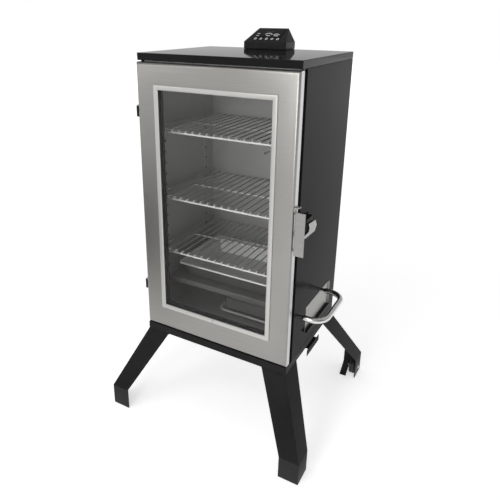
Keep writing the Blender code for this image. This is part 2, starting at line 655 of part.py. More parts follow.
def build_controller(cabinet):
    x0, x1 = PANEL_X
    y0, y1 = PANEL_Y
    floor_z = CAP_TOP_Z + GAP
    plate_top = floor_z + 0.0017
    foot_z = plate_top + GAP
    wall = 0.0025
    add_piece("controller_base", block((x0, y0, floor_z), (x1, y1, plate_top)), "plastic_black", cabinet)
    add_piece("control_board", block((x0 + 0.010, y0 + 0.006, foot_z), (x1 - 0.010, y1 - 0.006, foot_z + 0.0016)),
              "board_green", cabinet)
    housing = add_piece("controller_housing", rectangle_loft([
        (*RIDGE_X, *RIDGE_Y, RIDGE_Z),
        (x0, x1, y0, y1, PANEL_KNEE_Z),
        (x0, x1, y0, y1, foot_z),
        (x0 + wall, x1 - wall, y0 + wall, y1 - wall, foot_z),
        (x0 + wall, x1 - wall, y0 + wall, y1 - wall, PANEL_KNEE_Z - 0.001),
        (RIDGE_X[0] + 0.003, RIDGE_X[1] - 0.003, RIDGE_Y[0] + 0.0005, RIDGE_Y[1] - 0.002, RIDGE_Z - 0.003),
    ]), "plastic_black", cabinet)

    middle = sum(PANEL_X) / 2
    for number in range(1, BUTTON_COUNT + 1):
        x = middle + (number - (BUTTON_COUNT + 1) / 2) * BUTTON_PITCH
        foot = slope_point(x, BUTTON_UP_SLOPE, -0.008)
        head = slope_point(x, BUTTON_UP_SLOPE, 0.006)
        cut(housing, rod(foot, head, BUTTON_RADIUS + 0.0005, 16))
        profile = [(0.0068, -0.0052), (0.0068, -0.0036), (BUTTON_RADIUS, -0.0036), (BUTTON_RADIUS, 0.0010),
                   (BUTTON_RADIUS - 0.0006, 0.0016)]
        add_object(f"button_{number}", turned(profile, 16, (0, 0, 1), (0, 0, 0)), "button_grey", cabinet,
                   slope_point(x, BUTTON_UP_SLOPE), turn=(PANEL_SLOPE, 0, 0), crease=40)

    lens = block((-0.0365, 0.0, 0.0), (0.0365, 0.030, 0.0012))
    add_object("display_lens", lens, "gloss_black", cabinet,
               slope_point(sum(RIDGE_X) / 2, 0.0215, GAP), turn=(PANEL_SLOPE, 0, 0))


# ---- back of the cabinet ------------------------------------------------------------------------
def build_damper(cabinet):
    """Flap that hangs from a rivet over the exhaust vent and swings aside, and the power inlet."""
    pivot = (0.0, REAR_Y, DAMPER_PIVOT_Z)
    swing = joint_empty("damper_axis", pivot, cabinet)
    disc, lug = 0.021, 0.008
    spread = math.degrees(math.asin((disc - lug) / (DAMPER_PIVOT_Z - VENT_Z)))
    outline = arc((0, DAMPER_PIVOT_Z), lug, spread, 180 - spread, 6)
    outline += arc((0, VENT_Z), disc, 180 - spread, 360 + spread, 16)
    flap = add_piece("damper_flap", prism(outline, "Y", REAR_Y + 0.0005, REAR_Y + 0.0017), "satin_steel", swing,
                     origin=pivot)
    cut(flap, rod((0, REAR_Y - 0.01, DAMPER_PIVOT_Z), (0, REAR_Y + 0.01, DAMPER_PIVOT_Z), 0.0024, 12))
    rivet = [(0.0020, GAP), (0.0020, 0.0021), (0.0048, 0.0021), (0.0036, 0.0038)]
    add_piece("damper_rivet", turned(rivet, 12, (0, 1, 0), pivot), "satin_steel", cabinet, crease=40)

    inlet = [(0.0150, GAP), (0.0150, 0.0030), (0.0120, 0.0030), (0.0120, 0.0140), (0.0090, 0.0140), (0.0090, 0.0050)]
    add_piece("power_inlet", turned(inlet, 16, (0, 1, 0), (0.120, REAR_Y, 0.330)), "plastic_black", cabinet,
              crease=40)


# ---- door, hinges and latch ---------------------------------------------------------------------
def grow(span, by):
    return (span[0] - by, span[1] + by)


def build_door(door):
    front, back = DOOR_Y
    skin = add_piece("door_skin", standing_tray((-DOOR_X, DOOR_X), DOOR_Z, DOOR_Y, 0.0025), "brushed_steel", door)
    skin_x, skin_z = grow(WINDOW_X, 0.004), grow(WINDOW_Z, 0.004)
    cut(skin, block((skin_x[0], front - 0.01, skin_z[0]), (skin_x[1], front + 0.01, skin_z[1])))

    add_piece("window_trim", frame(grow(WINDOW_X, TRIM_WIDTH), grow(WINDOW_Z, TRIM_WIDTH), WINDOW_X, WINDOW_Z,
                                   (front - 0.0025, front - GAP)), "satin_steel", door)
    glass_x, glass_z = grow(WINDOW_X, 0.009), grow(WINDOW_Z, 0.009)
    glass_y = (front + SHEET + GAP, front + SHEET + GAP + 0.004)
    add_piece("window_glass", block((glass_x[0], glass_y[0], glass_z[0]), (glass_x[1], glass_y[1], glass_z[1])),
              "clear_glass", door)

    fit = SHEET + GAP
    plate_x, plate_z = (-DOOR_X + fit, DOOR_X - fit), grow(DOOR_Z, -fit)
    inner = add_piece("door_inner_panel", frame(plate_x, plate_z, WINDOW_X, WINDOW_Z, (back - 0.0015, back - GAP)),
                      "liner_steel", door)
    collar_x, collar_z = grow(WINDOW_X, SHEET), grow(WINDOW_Z, SHEET)
    join(inner, frame(collar_x, collar_z, WINDOW_X, WINDOW_Z, (glass_y[1] + GAP, back - 0.0008)))

    wool_gap = 0.0005
    wool_x, wool_z = grow(plate_x, -0.0035), grow(plate_z, -0.0035)
    add_piece("door_insulation", frame(wool_x, wool_z,
                                       grow(glass_x, wool_gap), grow(glass_z, wool_gap),
                                       (front + SHEET + wool_gap, back - 0.0020)), "mineral_wool", door)
    add_piece("door_gasket", frame((-0.204, 0.204), (0.264, 0.966), (-0.196, 0.196), (0.272, 0.958),
                                   (back + GAP, FRONT_Y - GAP)), "rubber_black", door)


def build_hinges(cabinet, door):
    half = HINGE_HEIGHT / 2
    bore = PIN_RADIUS + GAP
    for place, z in HINGE_Z.items():
        barrel_top = z + half - GAP
        low = rod((HINGE_X, HINGE_Y, z), (HINGE_X, HINGE_Y, barrel_top), KNUCKLE_RADIUS, 12)
        bracket = add_piece(f"hinge_bracket_{place}", low, "satin_black", cabinet, crease=40)
        join(bracket, block((-SIDE_X - 0.0018, HINGE_Y, z), (-SIDE_X - GAP, -0.120, barrel_top)))
        cut(bracket, rod((HINGE_X, HINGE_Y, z - 0.01), (HINGE_X, HINGE_Y, z + 0.03), bore, 12))

        high = rod((HINGE_X, HINGE_Y, z + half), (HINGE_X, HINGE_Y, z + HINGE_HEIGHT), KNUCKLE_RADIUS, 12)
        leaf = add_piece(f"door_hinge_leaf_{place}", high, "satin_black", door, crease=40)
        join(leaf, block((-DOOR_X - 0.0018, DOOR_Y[0] + 0.002, z + half), (-DOOR_X - GAP, DOOR_Y[1] - 0.002,
                                                                             z + HINGE_HEIGHT)))
        cut(leaf, rod((HINGE_X, HINGE_Y, z - 0.01), (HINGE_X, HINGE_Y, z + 0.03), bore, 12))

        top = HINGE_HEIGHT + GAP
        pin = [(PIN_RADIUS, -0.001), (PIN_RADIUS, top), (0.0042, top), (0.0034, top + 0.0015)]
        add_piece(f"hinge_pin_{place}", turned(pin, 12, (0, 0, 1), (HINGE_X, HINGE_Y, z)), "satin_black", cabinet,
                  crease=40)


def build_latch(cabinet, door):
    """Pull plate on the door's edge with its claw, and the catch on the cabinet's side."""
    z0, z1 = LATCH_Z
    ear_z = (z0 + 0.006, z1 - 0.0065)
    ear = 0.0016
    side = DOOR_X + GAP
    crown = z1 + 0.0085
    bracket = add_piece("latch_bracket", block((side, -0.1700, ear_z[0]), (side + 0.0015, -0.1625, crown)),
                        "satin_steel", door)
    join(bracket, block((side, -0.1775, crown - ear), (LATCH_X + 0.0015, -0.1625, crown)))
    for low in (ear_z[0], ear_z[1] - ear):
        join(bracket, block((side, LATCH_Y + 0.0022, low), (LATCH_X + 0.0030, -0.1625, low + ear)))
        join(bracket, rod((LATCH_X, LATCH_Y, low), (LATCH_X, LATCH_Y, low + ear), 0.0036, 16))
    cut(bracket, rod((LATCH_X, LATCH_Y, z0 - 0.01), (LATCH_X, LATCH_Y, z1 + 0.01), 0.0022, 12))

    lever_axis = joint_empty("latch_axis", (LATCH_X, LATCH_Y, (z0 + z1) / 2), door)
    plate_y = (-0.1822, -0.1806)
    lever = add_piece("latch_lever", block((0.2165, plate_y[0], z0), (0.2400, plate_y[1], z1)), "brushed_steel",
                      lever_axis, origin=(LATCH_X, LATCH_Y, (z0 + z1) / 2))
    inside = (ear_z[0] + ear + GAP, ear_z[1] - ear - GAP)
    join(lever, block((LATCH_X - 0.001, plate_y[1] - 0.0005, inside[0]), (LATCH_X + 0.001, LATCH_Y, inside[1])))
    join(lever, rod((LATCH_X, LATCH_Y, inside[0]), (LATCH_X, LATCH_Y, inside[1]), 0.0034, 12))
    join(lever, rod((LATCH_X, LATCH_Y, ear_z[0] - 0.001), (LATCH_X, LATCH_Y, ear_z[1] + 0.001), 0.0018, 12))
    claw_z = (0.6030, 0.6150)
    for low in (claw_z[0] - 0.0005 - ear, claw_z[1] + 0.0005):
        join(lever, block((CLAW_X - 0.004, plate_y[1] - 0.0005, low), (CLAW_X + 0.004, CLAW_Y + 0.004, low + ear)))
    cut(lever, rod((CLAW_X, CLAW_Y, 0.590), (CLAW_X, CLAW_Y, 0.630), 0.0016, 12))

    claw_axis = joint_empty("claw_axis", (CLAW_X, CLAW_Y, sum(claw_z) / 2), lever_axis)
    outline = [(CLAW_Y, 0.6055), (-0.0945, 0.6020), (-0.0835, 0.6140), (-0.0935, 0.6300), (-0.1370, 0.6340),
               (-0.1305, 0.6220), (-0.1345, 0.6135), (CLAW_Y, 0.6120)]
    claw = add_piece("latch_claw", prism(outline, "X", CLAW_X - 0.001, CLAW_X + 0.001), "satin_steel", claw_axis,
                     origin=(CLAW_X, CLAW_Y, sum(claw_z) / 2))
    join(claw, rod((CLAW_X, CLAW_Y, claw_z[0]), (CLAW_X, CLAW_Y, claw_z[1]), 0.0027, 12))
    join(claw, rod((CLAW_X, CLAW_Y, claw_z[0] - 0.0015), (CLAW_X, CLAW_Y, claw_z[1] + 0.0015), 0.0012, 12))

    root, body = SIDE_X + GAP, 0.2290
    outline = [(root, -0.1520), (root + 0.002, -0.1520), (root + 0.002, -0.1460), (body - 0.004, -0.1460),
               (body, -0.1420), (body, -0.1060), (body - 0.004, -0.1020), (root + 0.002, -0.1020),
               (root + 0.002, -0.0900), (root, -0.0900)]
    add_piece("latch_catch", prism(outline, "Z", 0.5945, 0.6450), "satin_black", cabinet)


def build():
    clear_scene()
    cabinet = joint_empty("cabinet", (0, 0, 0))
    door = joint_empty("door_axis", (HINGE_X, HINGE_Y, sum(DOOR_Z) / 2), cabinet)
    build_shell(cabinet)
    build_liner(cabinet)
    build_legs(cabinet)
    for side, side_name in ((-1, "left"), (1, "right")):
        build_wheel(side, side_name, cabinet)
        build_handle(side, side_name, cabinet)
    build_chamber(cabinet)
    build_chip_drawer(cabinet)
    build_drip_tray(cabinet)
    build_controller(cabinet)
    build_damper(cabinet)
    build_door(door)
    build_hinges(cabinet, door)
    build_latch(cabinet, door)


build()
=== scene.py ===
"""Looks of the electric cabinet smoker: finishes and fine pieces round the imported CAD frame.

Metres, +Z up, in the frame of the CAD part. Sizes come from the frame's own boxes and joints.
"""
import json
import math

import bmesh
import bpy
from mathutils import Matrix, Vector


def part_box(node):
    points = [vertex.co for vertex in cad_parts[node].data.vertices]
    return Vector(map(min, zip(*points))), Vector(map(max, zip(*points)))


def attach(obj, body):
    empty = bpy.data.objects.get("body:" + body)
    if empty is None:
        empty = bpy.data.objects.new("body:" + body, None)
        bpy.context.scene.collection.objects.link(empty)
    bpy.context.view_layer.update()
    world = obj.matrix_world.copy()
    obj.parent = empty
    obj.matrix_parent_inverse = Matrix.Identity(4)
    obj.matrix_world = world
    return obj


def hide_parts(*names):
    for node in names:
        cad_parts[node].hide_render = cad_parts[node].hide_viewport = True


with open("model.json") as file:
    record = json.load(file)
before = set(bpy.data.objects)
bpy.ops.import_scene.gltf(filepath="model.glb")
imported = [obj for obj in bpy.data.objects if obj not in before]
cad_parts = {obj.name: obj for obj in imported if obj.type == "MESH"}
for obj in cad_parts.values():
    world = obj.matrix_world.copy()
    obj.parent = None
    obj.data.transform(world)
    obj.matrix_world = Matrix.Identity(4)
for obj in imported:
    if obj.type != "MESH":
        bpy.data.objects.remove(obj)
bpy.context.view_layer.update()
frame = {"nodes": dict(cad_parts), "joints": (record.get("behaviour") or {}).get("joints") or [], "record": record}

NODES = frame["nodes"]
BODIES = frame["record"]["behaviour"]["bodies"]
BODY_OF = {node: body for body, members in BODIES.items() for node in members}
SLOT_OF = {entry["node"]: entry["material_slot"] for entry in frame["record"]["subparts"]}
SIDES = ((-1, "left"), (1, "right"))
LEVELS = ("top", "middle", "bottom")        # of the three grates
BUTTONS = range(1, 6)
UP = Vector((0, 0, 1))
SKIN = 0.0002           # how far a thin mark or a screw head stands clear of what it sits on


def joint_axis(name):
    return Vector(next(j for j in frame["joints"] if j["name"] == name)["axis"])


# ---- camera, light and floor --------------------------------------------------------------------
def place_camera():
    camera = bpy.data.cameras.new("camera")
    camera.lens = 37.41
    camera.sensor_width = 36.0
    camera.shift_x = 0.0479
    camera.shift_y = -0.0915
    item = bpy.data.objects.new("camera", camera)
    item.location = (0.6150, -1.1826, 1.0797)
    item.rotation_euler = (math.radians(70.04), math.radians(-0.28), math.radians(29.97))
    bpy.context.scene.collection.objects.link(item)
    bpy.context.scene.camera = item


def area_light(name, at, target, size, power):
    light = bpy.data.lights.new(name, "AREA")
    light.shape = "RECTANGLE"
    light.size, light.size_y = size
    light.energy = power
    item = bpy.data.objects.new(name, light)
    item.location = at
    item.rotation_euler = (Vector(target) - Vector(at)).to_track_quat("-Z", "Y").to_euler()
    bpy.context.scene.collection.objects.link(item)


def light_scene():
    """Three soft panels, and a backdrop that is darker above, in front and to the right.

    Only lighting and reflections meet its darker parts: the camera sees plain white.
    """
    world = bpy.data.worlds.new("studio")
    world.use_nodes = True
    sky = Nodes(world.node_tree)
    toward = sky.node("ShaderNodeTexCoord").outputs["Generated"]
    ceiling = sky.remap(sky.part(toward, "Z"), 0.03, 0.12, 1.0, 0.50)
    front = sky.remap(sky.part(toward, "Y"), -0.8, 0.2, 0.80, 1.0)
    right = sky.node("ShaderNodeVectorMath")
    right.operation = "DOT_PRODUCT"
    right.inputs[1].default_value = (0.87, -0.49, 0.0)
    sky.link(toward, right.inputs[0])
    dark_flag = sky.remap(right.outputs["Value"], 0.80, 0.90, 1.0, 0.10)
    graded = sky.multiply(sky.multiply(ceiling, front), dark_flag)
    seen = sky.node("ShaderNodeLightPath").outputs["Is Camera Ray"]
    background = world.node_tree.nodes["Background"]
    background.inputs["Color"].default_value = (1.0, 1.0, 1.0, 1.0)
    sky.link(sky.combine(graded, seen, "MAXIMUM"), background.inputs["Strength"])
    bpy.context.scene.world = world
    bpy.context.scene.view_settings.view_transform = "Standard"
    area_light("key", (-0.9, -2.4, 2.9), (0.0, 0.0, 0.55), (1.4, 1.4), 16.0)
    area_light("chamber", (0.05, -1.95, 1.05), (0.05, 0.05, 0.62), (0.6, 0.6), 9.5)
    area_light("door_top", (-1.75, -1.95, 1.25), (0.0, 0.0, 0.95), (0.7, 0.7), 4.0)


def add_floor():
    """White paper, brighter far behind, with a dark cloth to the front left.

    The cloth takes part in light and reflections only, and the camera sees the paper in its place.
    """
    reach = 14.0
    bm = bmesh.new()
    bmesh.ops.create_circle(bm, cap_ends=True, segments=96, radius=reach)
    floor = new_object("studio_floor", bm)
    paper = Finish("studio_floor", (0.92, 0.92, 0.92), 0.9, Emission_Color=(1.0, 1.0, 1.0, 1.0))
    seen = paper.node("ShaderNodeLightPath").outputs["Is Camera Ray"]
    across = paper.remap(paper.across(), -0.30, -0.90, 0.0, 1.0)
    near_edge = paper.remap(paper.depth(), -0.42, -0.70, 0.0, 1.0)
    far_edge = paper.remap(paper.depth(), -2.3, -1.6, 0.0, 1.0)
    cloth = paper.multiply(paper.multiply(near_edge, far_edge), across)
    cloth = paper.multiply(cloth, paper.remap(seen, 0.0, 1.0, 1.0, 0.0))
    paper.tint(cloth, (0.10, 0.10, 0.10))
    glow = paper.remap(paper.depth(), 1.2, 6.0, 0.56, 0.92)
    glow = paper.multiply(glow, paper.remap(cloth, 0.0, 1.0, 1.0, 0.0))
    paper.link(glow, paper.shader.inputs["Emission Strength"])
    floor.data.materials.append(paper.material)


# ---- objects and meshes -------------------------------------------------------------------------
def new_object(name, bm, crease=None):
    bmesh.ops.recalc_face_normals(bm, faces=bm.faces)
    mesh = bpy.data.meshes.new(name)
    bm.to_mesh(mesh)
    bm.free()
    if crease is not None:
        mesh.shade_smooth()
        mesh.set_sharp_from_angle(angle=math.radians(crease))
    item = bpy.data.objects.new(name, mesh)
    bpy.context.scene.collection.objects.link(item)
    return item


def piece(name, item, finish, slot, body, *replaced):
    """Name a new object, give it its finish and its body, and hide the CAD nodes that it stands for."""
    item.name = name
    item.data.materials.clear()
    item.data.materials.append(finish)
    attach(item, body)
    if replaced:
        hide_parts(*replaced)


def loft(rings, closed=False):
    """Skin equal rings of points, capped at both ends or closed on itself."""
    bm = bmesh.new()
    loops = [[bm.verts.new(point) for point in ring] for ring in rings]
    count = len(loops[0])
    pairs = list(zip(loops, loops[1:]))
    if closed:
        pairs.append((loops[-1], loops[0]))
    for lower, upper in pairs:
        for k in range(count):
            after = (k + 1) % count
            bm.faces.new((lower[k], lower[after], upper[after], upper[k]))
    if not closed:
        bm.faces.new(loops[0][::-1])
        bm.faces.new(loops[-1])
    return bm


def block(low, high):
    bm = bmesh.new()
    size = Vector(high) - Vector(low)
    middle = (Vector(high) + Vector(low)) / 2
    bmesh.ops.create_cube(bm, size=1.0, matrix=Matrix.Translation(middle) @ Matrix.Diagonal((*size, 1.0)))
    return bm


def turned(profile, segments, axis, at, closed=False):
    """Turn a profile of (radius, distance along the axis) about a line through a point."""
    angles = [2 * math.pi * k / segments for k in range(segments)]
    bm = loft([[(r * math.cos(a), r * math.sin(a), h) for a in angles] for r, h in profile], closed)
    turn = UP.rotation_difference(Vector(axis)).to_matrix().to_4x4()
    bmesh.ops.transform(bm, matrix=Matrix.Translation(at) @ turn, verts=bm.verts)
    return bm


def merge(target, other):
    """Add one mesh to another as a further body."""
    mesh = bpy.data.meshes.new("merge")
    other.to_mesh(mesh)
    other.free()
    target.from_mesh(mesh)
    bpy.data.meshes.remove(mesh)
    return target


def smooth_bevel(item, width, segments=3):
    """Round the sharp edges and keep the flat faces' shading flat."""
    modifier = item.modifiers.new("bevel", "BEVEL")
    modifier.width = width
    modifier.segments = segments
    modifier.limit_method = "ANGLE"
    modifier.angle_limit = math.radians(25)
    item.data.shade_smooth()
    flat = item.modifiers.new("flat_faces", "WEIGHTED_NORMAL")
    flat.mode = "FACE_AREA"
    flat.weight = 100
    flat.keep_sharp = True


def softened(node, finish, width):
    """Replace a CAD node with a copy whose edges are rounded."""
    bm = bmesh.new()
    bm.from_mesh(NODES[node].data)
    bmesh.ops.remove_doubles(bm, verts=bm.verts, dist=1e-6)
    bmesh.ops.dissolve_limit(bm, angle_limit=math.radians(1.0), verts=bm.verts, edges=bm.edges)
    item = new_object(f"{node}_formed", bm)
    smooth_bevel(item, width)
    piece(f"{node}_formed", item, FINISH[finish], SLOT_OF[node], BODY_OF[node], node)


def rounded_path(corners, radius, steps, closed=False):
    """Points along a path whose corners are rounded to the given radius."""
    corners = [Vector(corner) for corner in corners]
    count = len(corners)
    points = [] if closed else [corners[0]]
    for k in range(count) if closed else range(1, count - 1):
        corner = corners[k]
        inward = (corners[k - 1] - corner).normalized()
        onward = (corners[(k + 1) % count] - corner).normalized()
        half = inward.angle(onward) / 2
        middle = corner + (inward + onward).normalized() * radius / math.sin(half)
        first = corner + inward * radius / math.tan(half) - middle
        last = corner + onward * radius / math.tan(half) - middle
        normal = first.cross(last).normalized()
        sweep = first.angle(last)
        points += [middle + Matrix.Rotation(sweep * s / steps, 3, normal) @ first for s in range(steps + 1)]
    if not closed:
        points.append(corners[-1])
    return points


def wires(name, runs, sides=3):
    """Curve object of round wires; each run is (points, radius or list of radii, closed)."""
    curve = bpy.data.curves.new(name, "CURVE")
    curve.dimensions = "3D"
    curve.bevel_depth = 1.0
    curve.bevel_resolution = sides
    curve.use_fill_caps = True
    for points, radius, closed in runs:
        spline = curve.splines.new("POLY")
        spline.points.add(len(points) - 1)
        radii = radius if isinstance(radius, list) else [radius] * len(points)
        for knot, point, size in zip(spline.points, points, radii):
            knot.co = (*point, 1.0)
            knot.radius = size
        spline.use_cyclic_u = closed
        spline.use_smooth = True
    item = bpy.data.objects.new(name, curve)
    bpy.context.scene.collection.objects.link(item)
    return item


def screw_head(at, axis, radius):
    """Pan head with a round recess, standing on a surface."""
    height = 0.55 * radius
    segments, steps = 24, 5
    profile = [(radius, 0.0), (radius, 0.25 * height)]
    for k in range(1, steps):
        angle = math.radians(90 * k / steps)
        profile.append((radius * (0.35 + 0.65 * math.cos(angle)), height * (0.25 + 0.75 * math.sin(angle))))
    profile.append((0.30 * radius, height))
    profile.append((0.22 * radius, height))
    profile.append((0.18 * radius, 0.45 * height))
    return turned(profile, segments, axis, Vector(at) + Vector(axis) * SKIN)


def screws(name, places, axis, body, radius=0.0034):
    """Zinc-plated screw heads of one size, joined as one piece."""
    bm = bmesh.new()
    for at in places:
        bm = merge(bm, screw_head(at, axis, radius))
    piece(name, new_object(name, bm, crease=35), FINISH["zinc_steel"], "zinc_steel", body)


# ---- finishes -----------------------------------------------------------------------------------
class Nodes:
    """Short ways to add and join the nodes of one shader tree."""

    def __init__(self, tree):
        self.tree = tree

    def node(self, kind):
        return self.tree.nodes.new(kind)

    def link(self, output, socket):
        self.tree.links.new(output, socket)

    def part(self, vector, axis):
        """One component of a vector."""
        split = self.node("ShaderNodeSeparateXYZ")
        self.link(vector, split.inputs["Vector"])
        return split.outputs[axis]

    def remap(self, value, low, high, new_low, new_high):
        node = self.node("ShaderNodeMapRange")
        spans = {"From Min": low, "From Max": high, "To Min": new_low, "To Max": new_high}
        for key, number in spans.items():
            node.inputs[key].default_value = number
        self.link(value, node.inputs["Value"])
        return node.outputs["Result"]

    def combine(self, first, second, operation):
        node = self.node("ShaderNodeMath")
        node.operation = operation
        self.link(first, node.inputs[0])
        self.link(second, node.inputs[1])
        return node.outputs["Value"]

    def multiply(self, first, second):
        return self.combine(first, second, "MULTIPLY")


class Finish(Nodes):
    """Principled material whose colour, roughness and bump come from procedural textures."""

    def __init__(self, name, colour, roughness, metallic=0.0, edge=0.0, **sockets):
        self.material = bpy.data.materials.new(name)
        self.material.use_nodes = True
        super().__init__(self.material.node_tree)
        self.shader = self.tree.nodes["Principled BSDF"]
        self.shader.inputs["Base Color"].default_value = (*colour, 1.0)
        self.shader.inputs["Roughness"].default_value = roughness
        self.shader.inputs["Metallic"].default_value = metallic
        for socket, value in sockets.items():
            self.shader.inputs[socket.replace("_", " ")].default_value = value
        self.place = self.node("ShaderNodeTexCoord").outputs["Object"]
        self.normal = None
        if edge:
            bevel = self.node("ShaderNodeBevel")
            bevel.samples = 4
            bevel.inputs["Radius"].default_value = edge
            self.normal = bevel.outputs["Normal"]
            self.link(self.normal, self.shader.inputs["Normal"])

    def across(self):
        """Distance to the right of the frame's origin along X, in metres."""
        return self.part(self.place, "X")

    def depth(self):
        """Distance behind the frame's origin along Y, in metres."""
        return self.part(self.place, "Y")

    def height(self):
        """Height above the floor, in metres."""
        return self.part(self.place, "Z")

    def facing(self, axis):
        """How far the surface faces along an axis, from -1 to 1."""
        return self.part(self.node("ShaderNodeNewGeometry").outputs["Normal"], axis)

    def sideways(self):
        """How far the surface faces along X, from 0 to 1."""
        size = self.node("ShaderNodeMath")
        size.operation = "ABSOLUTE"
        self.link(self.facing("X"), size.inputs[0])
        return size.outputs["Value"]

    def noise(self, scale, stretch=(1.0, 1.0, 1.0), detail=4.0, roughness=0.55):
        """Cloudy noise, drawn out along the axes where the stretch is smaller."""
        mapping = self.node("ShaderNodeMapping")
        mapping.inputs["Scale"].default_value = [scale * s for s in stretch]
        self.link(self.place, mapping.inputs["Vector"])
        texture = self.node("ShaderNodeTexNoise")
        texture.inputs["Scale"].default_value = 1.0
        texture.inputs["Detail"].default_value = detail
        texture.inputs["Roughness"].default_value = roughness
        self.link(mapping.outputs["Vector"], texture.inputs["Vector"])
        return texture.outputs["Fac"]

    def cells(self, scale, feature="F1"):
        texture = self.node("ShaderNodeTexVoronoi")
        texture.feature = feature
        texture.inputs["Scale"].default_value = scale
        self.link(self.place, texture.inputs["Vector"])
        return texture.outputs["Distance"]

    def tint(self, mask, colour):
        """Blend the colour so far towards another one where the mask is high."""
        mix = self.node("ShaderNodeMix")
        mix.data_type = "RGBA"
        factor, first, second, mixed = mix.inputs[0], mix.inputs[6], mix.inputs[7], mix.outputs[2]
        base = self.shader.inputs["Base Color"]
        if base.is_linked:
            self.link(base.links[0].from_socket, first)
        else:
            first.default_value = base.default_value
        second.default_value = (*colour, 1.0)
        self.link(mask, factor)
        self.link(mixed, base)

    def rough(self, value, low, high, span=(0.3, 0.7)):
        """Spread the roughness from low to high over the given span of a value."""
        self.link(self.remap(value, *span, low, high), self.shader.inputs["Roughness"])

    def bump(self, height, distance, strength=1.0):
        """Shade the surface as if it rose by a height, on top of any earlier bump."""
        node = self.node("ShaderNodeBump")
        node.inputs["Distance"].default_value = distance
        node.inputs["Strength"].default_value = strength
        self.link(height, node.inputs["Height"])
        if self.normal:
            self.link(self.normal, node.inputs["Normal"])
        self.normal = node.outputs["Normal"]
        self.link(self.normal, self.shader.inputs["Normal"])
        return self

    def worn_edges(self, colour, amount):
        """Lighter colour where the surface bends sharply, broken up by noise."""
        bevel = self.node("ShaderNodeBevel")
        bevel.samples = 4
        bevel.inputs["Radius"].default_value = 0.0012
        geometry = self.node("ShaderNodeNewGeometry")
        dot = self.node("ShaderNodeVectorMath")
        dot.operation = "DOT_PRODUCT"
        self.link(bevel.outputs["Normal"], dot.inputs[0])
        self.link(geometry.outputs["Normal"], dot.inputs[1])
        bend = self.remap(dot.outputs["Value"], 0.995, 0.80, 0.0, amount)
        patches = self.remap(self.noise(60.0), 0.45, 0.62, 0.15, 1.0)
        self.tint(self.multiply(bend, patches), colour)


def shade(colour, factor):
    """The same colour made darker or lighter."""
    return tuple(min(1.0, factor * part) for part in colour)


def brushed(name, colour, roughness, stretch, painted_side_highlight=None):
    """Stainless steel brushed along the direction of least stretch; the optional side colour is a painted
    highlight on the faces that look along X.
    """
    finish = Finish(name, colour, roughness, 1.0, edge=0.0012)
    streaks = finish.noise(520.0, stretch, 3.0, 0.65)
    clouds = finish.noise(3.2, detail=3.0)
    finish.tint(finish.remap(streaks, 0.35, 0.65, 0.0, 0.7), shade(colour, 0.86))
    finish.tint(finish.remap(clouds, 0.42, 0.66, 0.0, 0.5), shade(colour, 1.09))
    # painted highlight: faces that look along X, the side edges, take the lighter side colour
    if painted_side_highlight:
        finish.tint(finish.remap(finish.sideways(), 0.90, 0.985, 0.0, 1.0), painted_side_highlight)
    finish.rough(streaks, roughness - 0.05, roughness + 0.07)
    return finish.bump(streaks, 0.00010, 0.35).material


def painted(name, colour, roughness, texture_scale, texture_height, specular, painted_floor_reflection_below=0.0,
            painted_sheen_above=0.0, crown=0.0):
    """Black paint with a fine orange-peel or powder texture and rubbed edges.

    Below one height it can take a lighter grey, a painted reflection of the floor, and above another a lighter
    tone, a painted reflection of the surroundings; crown is a faint slope of the sheet down towards the front.
    """
    floor_reflection_fade, painted_sheen_fade = 0.001, 0.35
    finish = Finish(name, colour, roughness, edge=0.0012, Specular_IOR_Level=specular)
    dust = finish.noise(9.0, detail=6.0)
    finish.tint(finish.remap(dust, 0.45, 0.75, 0.0, 0.35), shade(colour, 2.2))
    finish.rough(dust, roughness - 0.03, roughness + 0.04)
    # painted reflection of the floor: lighter grey below this height, on the legs' feet
    if painted_floor_reflection_below:
        painted_floor_reflection = finish.remap(finish.height(), painted_floor_reflection_below + floor_reflection_fade, painted_floor_reflection_below, 0.0, 0.7)
        finish.tint(painted_floor_reflection, shade(colour, 2.6))
    # painted reflection: lighter from this height up, standing in for the bright surroundings mirrored in the
    # sheet
    if painted_sheen_above:
        painted_sheen = finish.remap(finish.height(), painted_sheen_above, painted_sheen_above + painted_sheen_fade, 0.0, 1.0)
        finish.tint(painted_sheen, shade(colour, 3.0))
    rubbed_grey = (0.16, 0.16, 0.16)
    finish.worn_edges(rubbed_grey, 0.35)
    if crown:
        finish.bump(finish.depth(), crown)
    return finish.bump(finish.noise(texture_scale, detail=2.0), texture_height).material


def plated(name, colour, roughness):
    """Chrome or zinc plating with faint clouding and hairlines."""
    finish = Finish(name, colour, roughness, 1.0, edge=0.0006)
    clouds = finish.noise(70.0, detail=5.0)
    finish.tint(finish.remap(clouds, 0.5, 0.75, 0.0, 0.5), shade(colour, 0.72))
    finish.rough(clouds, roughness, roughness + 0.10)
    return finish.bump(finish.noise(420.0, (1, 1, 6.0)), 0.00004, 0.4).material


def satin(name, colour, roughness, metallic):
    """Fine satin stainless with faint clouding and no visible grain."""
    finish = Finish(name, colour, roughness, metallic)
    clouds = finish.noise(11.0, detail=4.0)
    finish.tint(finish.remap(clouds, 0.40, 0.70, 0.0, 0.4), shade(colour, 0.90))
    finish.rough(clouds, roughness - 0.01, roughness + 0.03)
    return finish.bump(finish.noise(650.0, detail=2.0), 0.000012, 0.2).material


